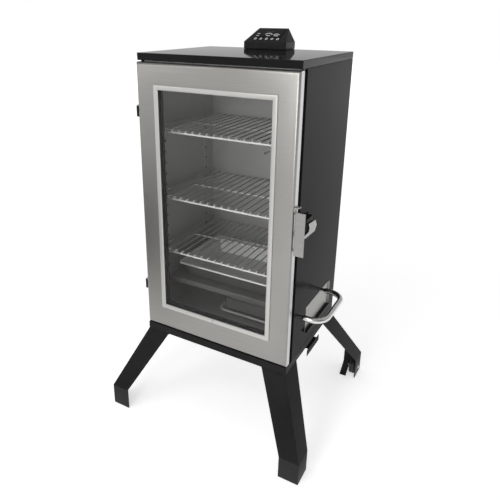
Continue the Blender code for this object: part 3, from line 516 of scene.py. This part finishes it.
def liner_steel():
    """Dull oven steel with faint smoke patches, painted darker towards the floor of the chamber as painted shade.
    """
    finish = Finish("liner_steel", (0.475, 0.475, 0.47), 0.46, 0.35, 0.0008)
    smoke = finish.noise(5.0, (1.0, 1.0, 0.6), 6.0)
    finish.tint(finish.remap(smoke, 0.38, 0.72, 0.0, 0.6), (0.42, 0.415, 0.40))
    # painted shade: the steel darkens towards the floor of the chamber
    painted_shade_top, painted_shade_bottom = 0.50, 0.36
    finish.tint(finish.remap(finish.height(), painted_shade_top, painted_shade_bottom, 0.0, 0.35), (0.24, 0.235, 0.225))
    grain = finish.noise(380.0, (1.0, 1.0, 0.02), 2.0)
    finish.rough(grain, 0.40, 0.52)
    return finish.bump(grain, 0.00003, 0.4).material


def scorched_steel():
    """Oven steel near the element, browned and dulled by heat."""
    finish = Finish("scorched_steel", (0.19, 0.19, 0.18), 0.50, 0.35, 0.0008)
    finish.tint(finish.remap(finish.noise(14.0, detail=6.0), 0.40, 0.70, 0.0, 0.7), (0.12, 0.115, 0.105))
    return finish.bump(finish.noise(420.0), 0.00003, 0.4).material


def pan_steel():
    """Stamped water pan: faint tide marks, a painted highlight on faces that look to the front, and painted shade
    on faces that stand upright or look down.
    """
    finish = Finish("pan_steel", (0.60, 0.60, 0.59), 0.44, 0.15, 0.0006)
    tide_marks = finish.noise(7.0, (1.0, 1.0, 4.0), 4.0)
    painted_highlight_faces = finish.remap(finish.facing("Y"), -0.2, -0.6, 0.0, 1.0)
    outside = finish.remap(finish.facing("Z"), 0.05, -0.02, 0.0, 1.0)
    finish.tint(finish.remap(tide_marks, 0.42, 0.68, 0.0, 0.4), (0.50, 0.495, 0.48))
    # painted highlight: faces that look to the front, such as the back wall, turn near white
    finish.tint(painted_highlight_faces, (1.0, 1.0, 0.98))
    # painted shade: faces that stand upright or look down turn near black
    finish.tint(outside, (0.075, 0.074, 0.070))
    return finish.bump(finish.noise(500.0), 0.00002, 0.4).material


def grate_steel():
    """Grate and rack wire in painted shade: a darker copy of the wire for the lengths back in the chamber, with
    smoky patches.
    """
    finish = Finish("grate_steel", (0.46, 0.46, 0.45), 0.40, 0.40)
    finish.tint(finish.remap(finish.noise(45.0, detail=3.0), 0.45, 0.75, 0.0, 0.6), (0.32, 0.315, 0.30))
    return finish.bump(finish.noise(900.0), 0.00001, 0.4).material


def grate_wire():
    """Nickel-plated wire in painted highlight: a near-white copy for the parts that catch the light, a little
    dulled by heat.
    """
    finish = Finish("chrome_wire", (0.97, 0.97, 0.95), 0.27, 0.45)
    finish.tint(finish.remap(finish.noise(45.0, detail=3.0), 0.5, 0.75, 0.0, 0.6), (0.78, 0.77, 0.74))
    return finish.bump(finish.noise(900.0), 0.00001, 0.4).material


def mineral_wool():
    """Matted yellow-brown fibres."""
    finish = Finish("mineral_wool", (0.52, 0.47, 0.34), 0.95, Sheen_Weight=0.4)
    fibres = finish.noise(160.0, (1.0, 1.0, 7.0), 6.0, 0.7)
    finish.tint(finish.remap(fibres, 0.35, 0.65, 0.0, 0.8), (0.30, 0.26, 0.17))
    return finish.bump(finish.combine(fibres, finish.noise(28.0), "ADD"), 0.0015).material


def seal_rubber():
    """Matt black rubber with a woven face."""
    finish = Finish("door_seal", (0.003, 0.003, 0.003), 0.80, edge=0.0016, Specular_IOR_Level=0.02)
    weave = finish.cells(900.0)
    finish.tint(finish.remap(weave, 0.2, 0.7, 0.0, 0.5), (0.008, 0.008, 0.008))
    return finish.bump(weave, 0.00005).material


def wheel_plastic():
    """Dull black plastic, rubbed grey in patches."""
    finish = Finish("wheel_plastic", (0.020, 0.020, 0.020), 0.55, edge=0.0008)
    scuff = finish.noise(90.0, detail=6.0)
    finish.tint(finish.remap(scuff, 0.52, 0.70, 0.0, 0.6), (0.085, 0.082, 0.075))
    finish.rough(scuff, 0.48, 0.70)
    return finish.bump(finish.noise(1400.0, detail=2.0), 0.00010).material


def housing_plastic():
    """Black plastic with a fine moulded grain."""
    finish = Finish("housing_plastic", (0.010, 0.010, 0.011), 0.30, edge=0.0014, Specular_IOR_Level=0.17)
    grain = finish.cells(1500.0)
    finish.tint(finish.remap(finish.noise(40.0), 0.4, 0.7, 0.0, 0.4), (0.030, 0.030, 0.031))
    finish.rough(grain, 0.28, 0.42, (0.0, 0.7))
    return finish.bump(grain, 0.00008, 0.6).material


def button_plastic():
    finish = Finish("button_plastic", (0.58, 0.58, 0.56), 0.42, edge=0.0005)
    finish.tint(finish.remap(finish.noise(300.0), 0.45, 0.7, 0.0, 0.4), (0.44, 0.44, 0.42))
    return finish.bump(finish.noise(1600.0), 0.00004).material


def element_sheath():
    """Light alloy sheath with heat-tinted patches of straw and blue-grey."""
    finish = Finish("element_sheath", (0.85, 0.84, 0.81), 0.36, 0.30)
    finish.tint(finish.remap(finish.noise(26.0, detail=3.0), 0.45, 0.7, 0.0, 0.6), (0.33, 0.33, 0.35))
    finish.tint(finish.remap(finish.noise(48.0, detail=3.0), 0.6, 0.75, 0.0, 0.5), (0.44, 0.38, 0.30))
    return finish.bump(finish.noise(700.0), 0.0001).material


def circuit_board():
    finish = Finish("circuit_board", (0.02, 0.13, 0.06), 0.35)
    tracks = finish.cells(220.0, "DISTANCE_TO_EDGE")
    finish.tint(finish.remap(tracks, 0.06, 0.02, 0.0, 1.0), (0.30, 0.24, 0.08))
    return finish.bump(finish.cells(160.0), 0.0004).material


def window_glass():
    """Lightly smoked tempered glass: mostly clear, with a sharp gloss and a few dust specks."""
    finish = Finish("window_glass", (0.115, 0.115, 0.113), 0.03, edge=0.0008, Specular_IOR_Level=0.5)
    specks = finish.remap(finish.noise(240.0, detail=6.0), 0.66, 0.74, 0.0, 0.4)
    finish.tint(specks, (0.20, 0.20, 0.19))
    haze = finish.remap(finish.noise(6.0, detail=4.0), 0.35, 0.75, 0.09, 0.12)
    finish.link(haze, finish.shader.inputs["Alpha"])
    return finish.material


def print_ink():
    finish = Finish("print_ink", (0.66, 0.66, 0.64), 0.5)
    finish.tint(finish.remap(finish.noise(900.0), 0.45, 0.7, 0.0, 0.5), (0.42, 0.42, 0.41))
    return finish.bump(finish.noise(2200.0), 0.00003).material


def display_window():
    finish = Finish("display_window", (0.008, 0.008, 0.010), 0.10, edge=0.0005, Specular_IOR_Level=0.15)
    smears = finish.noise(60.0, (1.0, 2.5, 1.0), 5.0)
    finish.rough(smears, 0.08, 0.20)
    return finish.bump(finish.noise(900.0), 0.00002).material


def dim_digits():
    """Segments of a read-out that is switched off."""
    finish = Finish("display_segments", (0.05, 0.05, 0.05), 0.25)
    finish.tint(finish.remap(finish.noise(500.0), 0.4, 0.7, 0.0, 0.7), (0.12, 0.12, 0.12))
    return finish.material


FINISH = {
    "brushed_stainless": brushed("brushed_stainless", (0.30, 0.294, 0.28), 0.34, (0.010, 0.010, 1.0)),
    # door_steel: side edges painted lighter, a painted highlight
    "door_steel": brushed("door_steel", (0.305, 0.298, 0.284), 0.34, (0.010, 0.010, 1.0),
                          painted_side_highlight=(0.56, 0.56, 0.57)),
    "satin_stainless": satin("satin_stainless", (0.50, 0.492, 0.476), 0.30, 0.45),
    "gloss_black_paint": painted("gloss_black_paint", (0.006, 0.006, 0.0065), 0.06, 240.0, 0.000004,
                                 specular=0.115, crown=0.019),
    # side and rear panels: lighter above 0.60 m, a painted reflection
    "panel_black_paint": painted("panel_black_paint", (0.012, 0.012, 0.0125), 0.20, 300.0, 0.00001,
                                 specular=0.014, painted_sheen_above=0.60),
    # legs, base and trays: lighter grey below 0.061 m, a painted reflection of the floor on the feet
    "satin_black_paint": painted("satin_black_paint", (0.016, 0.016, 0.0165), 0.32, 900.0, 0.00003,
                                 specular=0.035, painted_floor_reflection_below=0.061),
    "liner_steel": liner_steel(),
    "zinc_steel": plated("zinc_steel", (0.55, 0.55, 0.53), 0.26),
    "chrome": plated("chrome", (0.66, 0.66, 0.65), 0.17),
    "chrome_wire": grate_wire(),
    "grate_steel": grate_steel(),
    "pan_steel": pan_steel(),
    "scorched_steel": scorched_steel(),
    "latch_steel": plated("latch_steel", (0.36, 0.36, 0.35), 0.30),
    "element_sheath": element_sheath(),
    "black_plastic": housing_plastic(),
    "button_plastic": button_plastic(),
    "display_window": display_window(),
    "circuit_board": circuit_board(),
    "wheel_plastic": wheel_plastic(),
    "mineral_wool": mineral_wool(),
    "gasket": seal_rubber(),
    "tinted_glass": window_glass(),
}
PRINT_INK = print_ink()
DIM_DIGITS = dim_digits()


def dress_cad():
    """Give every carried-over CAD node its slot's finish, or the special one that its place calls for."""
    # door_inner_panel goes black as painted shade for the dark reveal inside the window
    special = {"left_side_panel": "panel_black_paint", "right_side_panel": "panel_black_paint",
               "rear_panel": "panel_black_paint", "door_inner_panel": "satin_black_paint",
               "chip_tray": "scorched_steel", "chip_tray_guide": "scorched_steel"}
    for entry in frame["record"]["subparts"]:
        finish = special.get(entry["node"], entry["material_slot"])
        item = NODES[entry["node"]]
        item.data.materials.clear()
        item.data.materials.append(FINISH[finish])


# ---- door ---------------------------------------------------------------------------------------
def build_door_skin():
    """Pressed skin: rounded folds along its edges and a hole behind the window trim."""
    low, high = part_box("door_skin")
    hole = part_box("window_trim")
    sheet, fold, steps, under_trim = 0.001, 0.007, 9, 0.008
    front, back = low.y, high.y

    def ring(corner_low, corner_high, inset, y):
        x0, x1 = corner_low.x + inset, corner_high.x - inset
        z0, z1 = corner_low.z + inset, corner_high.z - inset
        return [(x0, y, z0), (x1, y, z0), (x1, y, z1), (x0, y, z1)]

    rings = [ring(*hole, under_trim, front + sheet), ring(*hole, under_trim, front)]
    for k in range(steps + 1):
        angle = math.radians(90 * k / steps)
        rings.append(ring(low, high, fold * (1 - math.sin(angle)), front + fold * (1 - math.cos(angle))))
    rings += [ring(low, high, 0, back), ring(low, high, sheet, back), ring(low, high, sheet, front + fold),
              ring(low, high, fold, front + sheet)]
    skin = new_object("door_skin_pressed", loft(rings, closed=True), crease=28)
    # the door steel paints the skin's side edges lighter, a painted highlight
    piece("door_skin_pressed", skin, FINISH["door_steel"], "brushed_stainless", "door", "door_skin")


def build_gap_shade_strips():
    """Black rubber channel over the front edge of each side panel, which closes the gap to the door: painted shade
    that stands for the dark gap.
    """
    lip, cover, depth, nose = 0.0009, 0.0075, 0.0085, 0.0034
    end_gap = 0.001
    for side, name in SIDES:
        low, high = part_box(f"{name}_side_panel")
        face = max(abs(low.x), abs(high.x))
        outline = [(face + lip, low.y + cover), (face + lip, low.y - 0.4 * nose), (face, low.y - 0.8 * nose),
                   (face - 0.4 * depth, low.y - nose), (face - depth, low.y - 0.8 * nose),
                   (face - depth, low.y - SKIN), (face + SKIN, low.y - SKIN), (face + SKIN, low.y + cover)]
        rings = [[(side * x, y, z) for x, y in outline] for z in (low.z + end_gap, high.z - end_gap)]
        # painted shade: a black strip where the gap to the door lies in shade
        seal = new_object(f"gap_shade_strip_{name}", loft(rings), crease=50)
        piece(f"gap_shade_strip_{name}", seal, FINISH["gasket"], "gasket", "cabinet")


def build_window_trim():
    """Rolled bead round the glass, mitred at its corners and butted at the bottom."""
    low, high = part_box("window_trim")
    width = 0.012
    seat, crown = high.y, low.y
    profile = [(0.0, seat), (0.0, crown + 0.0009), (0.0006, crown + 0.0002), (0.0016, crown),
               (0.0070, crown + 0.0001), (0.0096, crown + 0.0005), (width - 0.0006, crown + 0.0012),
               (width, seat)]
    middle = (low.x + high.x) / 2
    seam = 0.0006
    stations = [(middle + seam, low.z, 0, 1), (high.x, low.z, -1, 1), (high.x, high.z, -1, -1),
                (low.x, high.z, 1, -1), (low.x, low.z, 1, 1), (middle - seam, low.z, 0, 1)]
    rings = [[(x + inward_x * inset, y, z + inward_z * inset) for inset, y in profile]
             for x, z, inward_x, inward_z in stations]
    trim = new_object("window_trim_bead", loft(rings), crease=28)
    piece("window_trim_bead", trim, FINISH["satin_stainless"], "satin_stainless", "door", "window_trim")


def build_door_screws():
    """Screws round the rim of the inner panel."""
    low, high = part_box("door_inner_panel")
    inset = 0.026
    end_margin, rows = 0.05, 6
    places = []
    for k in range(rows):
        z = low.z + end_margin + (high.z - low.z - 2 * end_margin) * k / (rows - 1)
        places += [(low.x + inset, high.y, z), (high.x - inset, high.y, z)]
    pitch = 0.09
    for x in (-pitch, 0.0, pitch):
        places += [(x, high.y, low.z + inset), (x, high.y, high.z - inset)]
    screws("door_inner_screws", places, (0, 1, 0), "door", 0.0030)


# ---- chamber ------------------------------------------------------------------------------------
def build_grate(level):
    """Cooking grate: long wires over a middle cross wire, their ends standing proud at the front; front wire,
    cross wire and ends in painted highlight, the rest in painted shade.
    """
    node = f"grate_{level}"
    body = BODY_OF[node]
    low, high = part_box(node)
    border, bar, end_bar = 0.0026, 0.0019, 0.0027
    corner, pitch, each_side = 0.010, 0.0206, 8
    z = (low.z + high.z) / 2
    x0, x1, y0, y1 = low.x + border, high.x - border, low.y + border, high.y - border
    loop = rounded_path([(x0, y0, z), (x1, y0, z), (x1, y1, z), (x0, y1, z)], corner, 6, closed=True)
    middle = (y0 + y1) / 2
    front = [Vector((x0 + corner, y0, z)), Vector((x1 - corner, y0, z))]
    cross = [Vector((x0, middle, z)), Vector((x1, middle, z))]
    # painted shade: the border loop and the long runs take the darker wire
    dull = [(loop, border, True)]
    # painted highlight: the front wire, the cross wire and the ends take the near-white wire
    bright = [(front, border + SKIN, False), (cross, bar + SKIN, False)]
    over = z + border + bar - 0.0002
    hook, tip, crest = border + 0.0012, 0.006, over + 0.0018
    for k in range(-each_side, each_side + 1):
        x = pitch * k
        run = [(x, y0 + tip, over), (x, y1 - 0.003, over), (x, y1 + 0.6 * border, over - 0.0002),
               (x, y1 + hook, over - 0.0024)]
        end = [(x, y0 - hook, over - 0.0010), (x, y0 - 0.6 * border, crest), (x, y0 + 0.5 * tip, crest),
               (x, y0 + tip, over)]
        dull.append(([Vector(point) for point in run], bar, False))
        bright.append(([Vector(point) for point in end], end_bar, False))
    piece(f"{node}_wires", wires(f"{node}_wires", dull), FINISH["grate_steel"], "chrome_wire", body, node)
    piece(f"{node}_front", wires(f"{node}_front", bright), FINISH["chrome_wire"], "chrome_wire", body)


def build_pan_rim():
    """Rolled wire round the rim of the water pan."""
    low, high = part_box("water_pan")
    bead, sunk, bend = 0.0029, 0.0006, 0.012
    z = high.z + bead - sunk
    corners = [(low.x, low.y, z), (high.x, low.y, z), (high.x, high.y, z), (low.x, high.y, z)]
    rim = wires("water_pan_rim", [(rounded_path(corners, bend, 6, closed=True), bead, True)])
    # the rim takes the near-white wire, a painted highlight
    piece("water_pan_rim", rim, FINISH["chrome_wire"], "chrome_wire", BODY_OF["water_pan"])


def build_element():
    """Smooth sheath along the same loop as the CAD element."""
    low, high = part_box("heating_element")
    radius = (high.z - low.z) / 2
    z = (low.z + high.z) / 2
    x0, x1, y0, y1 = low.x + radius, high.x - radius, low.y + radius, high.y
    turn_y = min(-y0, y1)
    return_leg, bend = 0.040, 0.018
    inner_x = x0 + return_leg
    corners = [(x0, y1, z), (x0, y0, z), (x1, y0, z), (x1, turn_y, z), (inner_x, turn_y, z), (inner_x, y1, z)]
    sheath = wires("heating_element_sheath", [(rounded_path(corners, bend, 10), radius, False)], 5)
    piece("heating_element_sheath", sheath, FINISH["element_sheath"], "element_sheath", "cabinet",
          "heating_element")


def build_rack(side, name):
    """Side rack: two uprights on the wall with black discs as painted shade for their slot holes, wire rails at
    each level in painted shade and clips in front in painted highlight.
    """
    node = f"rack_{name}"
    low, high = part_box(node)
    wall = max(abs(low.x), abs(high.x))
    sheet, upright_y, half_width = 0.0016, (-0.100, 0.100), 0.007
    face = side * (wall - sheet)
    x0, x1 = sorted((face, side * wall))
    uprights = bmesh.new()
    for y in upright_y:
        uprights = merge(uprights, block((x0, y - half_width, low.z), (x1, y + half_width, high.z)))
    item = new_object(f"{node}_uprights", uprights)
    smooth_bevel(item, 0.0005, 2)
    piece(f"{node}_uprights", item, FINISH["liner_steel"], "liner_steel", "cabinet", node)

    reach, wire, guide_gap, bend = wall - 0.0105, 0.0020, 0.0150, 0.0035
    rail_front, rail_back, splay = -0.138, 0.134, (0.006, -0.004)
    clip_y, clip_length, sleeve = -0.104, 0.007, 0.0008
    rails, clips = [], []
    for bottom in [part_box(f"grate_{level}")[0].z for level in LEVELS]:
        for z in (bottom - wire, bottom + guide_gap):
            rail = [(side * wall, rail_front + splay[0], z), (side * reach, rail_front, z),
                    (side * reach, rail_back, z), (side * wall, rail_back + splay[1], z)]
            rails.append((rounded_path(rail, bend, 4), wire, False))
            clip = [Vector((side * reach, clip_y + step * clip_length, z)) for step in (-0.5, 0.5)]
            clips.append((clip, wire + sleeve, False))
    # the rails take the darker wire, a painted shade
    piece(f"{node}_rails", wires(f"{node}_rails", rails), FINISH["grate_steel"], "chrome_wire", "cabinet")

    # painted shade: black discs on the uprights stand in for the dark slot holes
    slot_shadows = bmesh.new()
    pitch, radius, step = 0.030, 0.0030, 0.00012
    for y in upright_y:
        for k in range(int((high.z - low.z) / pitch)):
            at = (face - side * SKIN, y, low.z + pitch * (k + 0.5))
            slot_shadows = merge(slot_shadows, turned([(radius, 0.0), (0.8 * radius, step)], 20, (-side, 0, 0), at))
    slot_shadows = new_object(f"{node}_slots", slot_shadows)
    piece(f"{node}_slots", slot_shadows, FINISH["gasket"], "satin_black_paint", "cabinet")
    # the clips take the near-white wire, a painted highlight
    piece(f"{node}_clips", wires(f"{node}_clips", clips), FINISH["chrome_wire"], "chrome_wire", "cabinet")


# ---- handles, wheels and legs -------------------------------------------------------------------
def build_handle(side, name):
    """Polished loop: slim ends at the panel, thick grip, one smooth sweep."""
    node = f"handle_{name}"
    low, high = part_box(node)
    grip = (high.z - low.z) / 2
    slim, neck, swell, bend = 0.0048, 0.014, 0.006, 0.036
    z = (low.z + high.z) / 2
    start = side * min(abs(low.x), abs(high.x))
    reach = side * (max(abs(low.x), abs(high.x)) - grip)
    y0, y1 = low.y + grip, high.y - grip
    path = rounded_path([(start, y0, z), (reach, y0, z), (reach, y1, z), (start, y1, z)], bend, 14)
    ramp = [0.0, 0.25, 0.5, 0.75, 1.0]
    sizes = [slim + (grip - slim) * t * t * (3 - 2 * t) for t in ramp]
    along = [Vector((side * (neck + swell * t), 0, 0)) for t in ramp]
    near, far = [[base + offset for offset in along] for base in (path[0], path[-1])]
    points = [path[0]] + near + path[1:-1] + far[::-1] + [path[-1]]
    radii = [slim] + sizes + [grip] * (len(path) - 2) + sizes[::-1] + [slim]
    item = wires(f"{node}_grip", [(points, radii, False)], 9)
    piece(f"{node}_grip", item, FINISH["chrome"], "chrome", "cabinet", node)


def build_wheel(side, name):
    """Moulded wheel with a recessed, ribbed web on each side, on a hex-headed bolt."""
    node = f"wheel_{name}"
    low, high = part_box(node)
    middle = (low + high) / 2
    radius = (high.z - low.z) / 2
    half = (high.x - low.x) / 2
    bore, web, spokes = 0.0041, 0.0045, 6
    rib_reach, rib_half, rib_foot, rib_end = 0.0062, 0.0013, 0.0088, radius - 0.0055
    profile = [(bore, -half), (0.0085, -half), (0.0093, -half + 0.0008), (0.0098, -web),
               (radius - 0.0065, -web), (radius - 0.0048, -half + 0.0014), (radius - 0.0040, -half + 0.0006),
               (radius - 0.0024, -half + 0.0006), (radius - 0.0006, -half + 0.0022), (radius, -half + 0.0040),
               (radius, -0.0016), (radius - 0.0010, -0.0010)]
    profile += [(r, -h) for r, h in reversed(profile)]
    bm = turned(profile, 72, (1, 0, 0), middle, closed=True)
    for k in range(spokes):
        rib = block((-rib_reach, -rib_half, rib_foot), (rib_reach, rib_half, rib_end))
        turn = Matrix.Rotation(2 * math.pi * k / spokes, 4, "X")
        bmesh.ops.transform(rib, matrix=Matrix.Translation(middle) @ turn, verts=rib.verts)
        bm = merge(bm, rib)
    item = new_object(f"{node}_moulding", bm, crease=35)
    piece(f"{node}_moulding", item, FINISH["wheel_plastic"], "wheel_plastic", node, node)

    axle = f"axle_{name}"
    low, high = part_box(axle)
    outer = side * max(abs(low.x), abs(high.x))
    head, shank, from_end = 0.0034, 0.0034, 0.0035
    length = high.x - low.x - head
    head_radius = (high.z - low.z) / 2
    at = Vector((outer - side * head, (low.y + high.y) / 2, (low.z + high.z) / 2))
    washer = [(head_radius, 0.0003), (head_radius, 0.0011), (shank, 0.0011), (shank, -length)]
    hexagon = [(0.0058, 0.0013), (0.0058, 0.0028), (0.0050, head)]
    nut = [(0.0062, 0.0), (0.0062, 0.0030)]
    nut_at = at - Vector((side * (length - from_end), 0, 0))
    bolt = turned(washer, 40, (side, 0, 0), at)
    bolt = merge(bolt, turned(hexagon, 6, (side, 0, 0), at))
    bolt = merge(bolt, turned(nut, 6, (-side, 0, 0), nut_at))
    bolt = new_object(f"{axle}_bolt", bolt, crease=30)
    piece(f"{axle}_bolt", bolt, FINISH["zinc_steel"], "zinc_steel", "cabinet", axle)


def build_leg_bolts():
    """Two bolts up through each leg's tab into the base pan."""
    low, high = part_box("base_pan")
    gap, tab = 0.0003, 0.0025
    bottom = low.z - gap - tab
    inset_x, inset_y = 0.030, 0.028
    offsets = ((-0.012, 0.0), (0.014, 0.004))
    places = []
    for x in (low.x + inset_x, high.x - inset_x):
        for y in (low.y + inset_y, high.y - inset_y):
            places += [(x + dx, y + dy, bottom) for dx, dy in offsets]
    screws("leg_bolts", places, (0, 0, -1), "cabinet", 0.0055)


def build_chip_face():
    """Drawer front: plain steel plate, a fold at its rear edge, and a black pull lip along the bottom."""
    low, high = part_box("chip_tray_face")
    gap = 0.0003
    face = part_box("right_side_panel")[1].x + gap
    plate = new_object("chip_tray_plate", block((low.x, low.y, low.z), (face, high.y, high.z)))
    smooth_bevel(plate, 0.0005)
    piece("chip_tray_plate", plate, FINISH["brushed_stainless"], "brushed_stainless", "chip_drawer",
          "chip_tray_face")
    fold_low, fold_high = (face - 0.0008, high.y - 0.0016, low.z + 0.0045), (face + 0.0034, high.y, high.z)
    fold = new_object("chip_tray_fold", block(fold_low, fold_high))
    smooth_bevel(fold, 0.0006)
    piece("chip_tray_fold", fold, FINISH["satin_stainless"], "satin_stainless", "chip_drawer")
    wall, bead, rounding = 0.0018, 0.0052, 0.0010
    outer = high.x
    outline = [(face, low.z), (outer - rounding, low.z), (outer, low.z + rounding),
               (outer, low.z + bead - rounding), (outer - rounding, low.z + bead),
               (outer - wall, low.z + bead - 0.0008), (outer - wall, low.z + wall), (face, low.z + wall)]
    rings = [[(x, y, z) for x, z in outline] for y in (low.y, high.y)]
    lip = new_object("chip_tray_pull", loft(rings), crease=50)
    piece("chip_tray_pull", lip, FINISH["black_plastic"], "black_plastic", "chip_drawer")


def soften_sheet_metal():
    """Rounded edges on the bent, moulded and cut parts that show; each entry is (finish, width)."""
    edges = {
        "top_cap": ("gloss_black_paint", 0.0009), "base_pan": ("satin_black_paint", 0.0008),
        "leg_front_left": ("satin_black_paint", 0.0006), "leg_front_right": ("satin_black_paint", 0.0006),
        "leg_rear_left": ("satin_black_paint", 0.0006), "leg_rear_right": ("satin_black_paint", 0.0006),
        "latch_bracket": ("satin_stainless", 0.0004), "latch_lever": ("brushed_stainless", 0.0005),
        "latch_claw": ("latch_steel", 0.0006), "latch_catch": ("satin_black_paint", 0.0009),
        "controller_housing": ("black_plastic", 0.0012), "controller_base": ("black_plastic", 0.0006),
        "power_inlet": ("black_plastic", 0.0006), "damper_flap": ("satin_stainless", 0.0003),
        "smoke_deflector": ("scorched_steel", 0.0003), "water_pan": ("pan_steel", 0.0004),
        "drip_tray": ("satin_black_paint", 0.0005),
    }
    for node, (finish, width) in edges.items():
        softened(node, finish, width)


# ---- outside panels -----------------------------------------------------------------------------
def build_rear_details():
    """Screws round the rear panel, and the pins and screws of the power inlet."""
    low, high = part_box("rear_panel")
    inset, end_margin = 0.010, 0.03
    rows, columns = 6, 4
    places = []
    for k in range(rows):
        z = low.z + end_margin + (high.z - low.z - 2 * end_margin) * k / (rows - 1)
        places += [(low.x + inset, high.y, z), (high.x - inset, high.y, z)]
    for k in range(1, columns):
        x = low.x + (high.x - low.x) * k / columns
        places += [(x, high.y, low.z + inset), (x, high.y, high.z - inset)]
    screws("rear_panel_screws", places, (0, 1, 0), "cabinet")

    low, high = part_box("power_inlet")
    middle = (low + high) / 2
    root = high.y - 0.0095
    pin = [(0.0011, 0.0), (0.0011, 0.0066), (0.0007, 0.0072)]
    pins = bmesh.new()
    for dx, dz in ((-0.0035, -0.0015), (0.0035, -0.0015), (0.0, 0.0035)):
        pins = merge(pins, turned(pin, 20, (0, 1, 0), (middle.x + dx, root, middle.z + dz)))
    pins = new_object("power_inlet_pins", pins, crease=40)
    piece("power_inlet_pins", pins, FINISH["zinc_steel"], "zinc_steel", "cabinet")
    spread, ear_y = 0.0133, low.y + 0.0030
    places = [(middle.x + side * spread, ear_y, middle.z) for side in (-1, 1)]
    screws("power_inlet_screws", places, (0, 1, 0), "cabinet", 0.0014)


def build_hinge_screws():
    """Two screws through each hinge bracket into the side panel."""
    sheet_x, rows_y = 0.0092, (-0.135, -0.150)
    for place in ("top", "bottom"):
        low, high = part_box(f"hinge_bracket_{place}")
        places = [(low.x + sheet_x, y, (low.z + high.z) / 2) for y in rows_y]
        screws(f"hinge_bracket_screws_{place}", places, (-1, 0, 0), "cabinet", 0.0030)


# ---- controller ---------------------------------------------------------------------------------
def slope_matrix():
    """Frame of the controller's sloping face: X along it, Y up it, Z out of it, from its lower middle."""
    out = -joint_axis("button_1_press")
    along = Vector((1, 0, 0))
    up = out.cross(along)
    first, last = [sum(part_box(f"button_{k}"), Vector()) / 2 for k in (BUTTONS[0], BUTTONS[-1])]
    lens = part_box("display_lens")[0]
    corner = Vector(((first.x + last.x) / 2, lens.y, lens.z))
    return Matrix.Translation(corner) @ Matrix((along, up, out)).transposed().to_4x4()


def ink_bar(start, end, width):
    """Thin printed bar in the sloping face's own frame."""
    thickness = 0.00012
    start, end = Vector((*start, 0.0)), Vector((*end, 0.0))
    side = (end - start).normalized().cross(UP) * width / 2
    rim = [start + side, end + side, end - side, start - side]
    return loft([rim, [p + UP * thickness for p in rim]])


def ink_arc(centre, radius, start, end, width):
    """Printed arc made of short bars, from one angle to another in degrees."""
    steps = 10
    bm = bmesh.new()
    angles = [math.radians(start + (end - start) * k / steps) for k in range(steps + 1)]
    points = [(centre[0] + radius * math.cos(a), centre[1] + radius * math.sin(a)) for a in angles]
    for a, b in zip(points, points[1:]):
        bm = merge(bm, ink_bar(a, b, width))
    return bm


def build_controller():
    """Generic printed marks beside the buttons, and three dim digits in the read-out."""
    lift = 0.0014
    place = slope_matrix() @ Matrix.Translation((0, 0, lift))
    stroke, base_stroke, sweep = 0.0032, 0.0036, (35, 145)
    marks = bmesh.new()
    for y in (0.0030, 0.0120):
        marks = merge(marks, ink_bar((-0.0345, y), (-0.0265, y), stroke))
    half_base, base_y, arc_y = 0.0055, 0.0040, 0.0015
    for x, radius in ((0.0000, 0.0125), (0.0225, 0.0100)):
        marks = merge(marks, ink_arc((x, arc_y), radius, *sweep, stroke))
        marks = merge(marks, ink_bar((x - half_base, base_y), (x + half_base, base_y), base_stroke))
    bmesh.ops.transform(marks, matrix=place, verts=marks.verts)
    marks = new_object("controller_marks", marks)
    piece("controller_marks", marks, PRINT_INK, "button_plastic", "cabinet")

    first_x, pitch, foot = -0.009, 0.0075, 0.0185
    wide, tall, stroke = 0.0042, 0.0055, 0.0009
    digits = bmesh.new()
    for k in range(3):
        left = first_x + pitch * k
        right = left + wide
        top = foot + tall
        for start, end in (((left, foot), (left, top)), ((right, foot), (right, top)),
                           ((left, foot), (right, foot)), ((left, top), (right, top))):
            digits = merge(digits, ink_bar(start, end, stroke))
    bmesh.ops.transform(digits, matrix=place, verts=digits.verts)
    digits = new_object("controller_digits", digits)
    piece("controller_digits", digits, DIM_DIGITS, "display_window", "cabinet")


def build_buttons():
    """Domed black key caps with a light ring printed on each."""
    out = -joint_axis("button_1_press").normalized()
    radius = 0.0055
    ring_inside, ring_outside, ink, squeeze = 0.0018, 0.0044, 0.00010, 0.86
    ring = [(ring_inside, 0.0), (ring_inside, ink), (ring_outside, ink), (ring_outside, 0.0)]
    shape = UP.rotation_difference(out).to_matrix().to_4x4() @ Matrix.Diagonal((squeeze, 1.0, 1.0, 1.0))
    for k in BUTTONS:
        node = f"button_{k}"
        low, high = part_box(node)
        centre = (low + high) / 2
        half = (high.z - low.z - 2 * radius * abs(out.y)) / out.z / 2
        profile = [(radius, -half), (radius, half - 0.0009), (0.85 * radius, half - 0.0003),
                   (0.5 * radius, half)]
        cap = new_object(f"{node}_cap", turned(profile, 40, out, centre), crease=40)
        piece(f"{node}_cap", cap, FINISH["black_plastic"], "button_plastic", node, node)
        print_bm = turned(ring, 40, UP, (0, 0, 0), closed=True)
        print_at = Matrix.Translation(centre + out * (half + SKIN))
        bmesh.ops.transform(print_bm, matrix=print_at @ shape, verts=print_bm.verts)
        piece(f"{node}_print", new_object(f"{node}_print", print_bm), PRINT_INK, "button_plastic", node)


# ---- everything ---------------------------------------------------------------------------------
place_camera()
light_scene()
add_floor()
dress_cad()
soften_sheet_metal()
build_door_skin()
build_gap_shade_strips()
build_window_trim()
build_door_screws()
build_chip_face()
for grate_level in LEVELS:
    build_grate(grate_level)
build_pan_rim()
build_element()
for side_sign, side_name in SIDES:
    build_rack(side_sign, side_name)
    build_handle(side_sign, side_name)
    build_wheel(side_sign, side_name)
build_leg_bolts()
build_rear_details()
build_hinge_screws()
build_controller()
build_buttons()
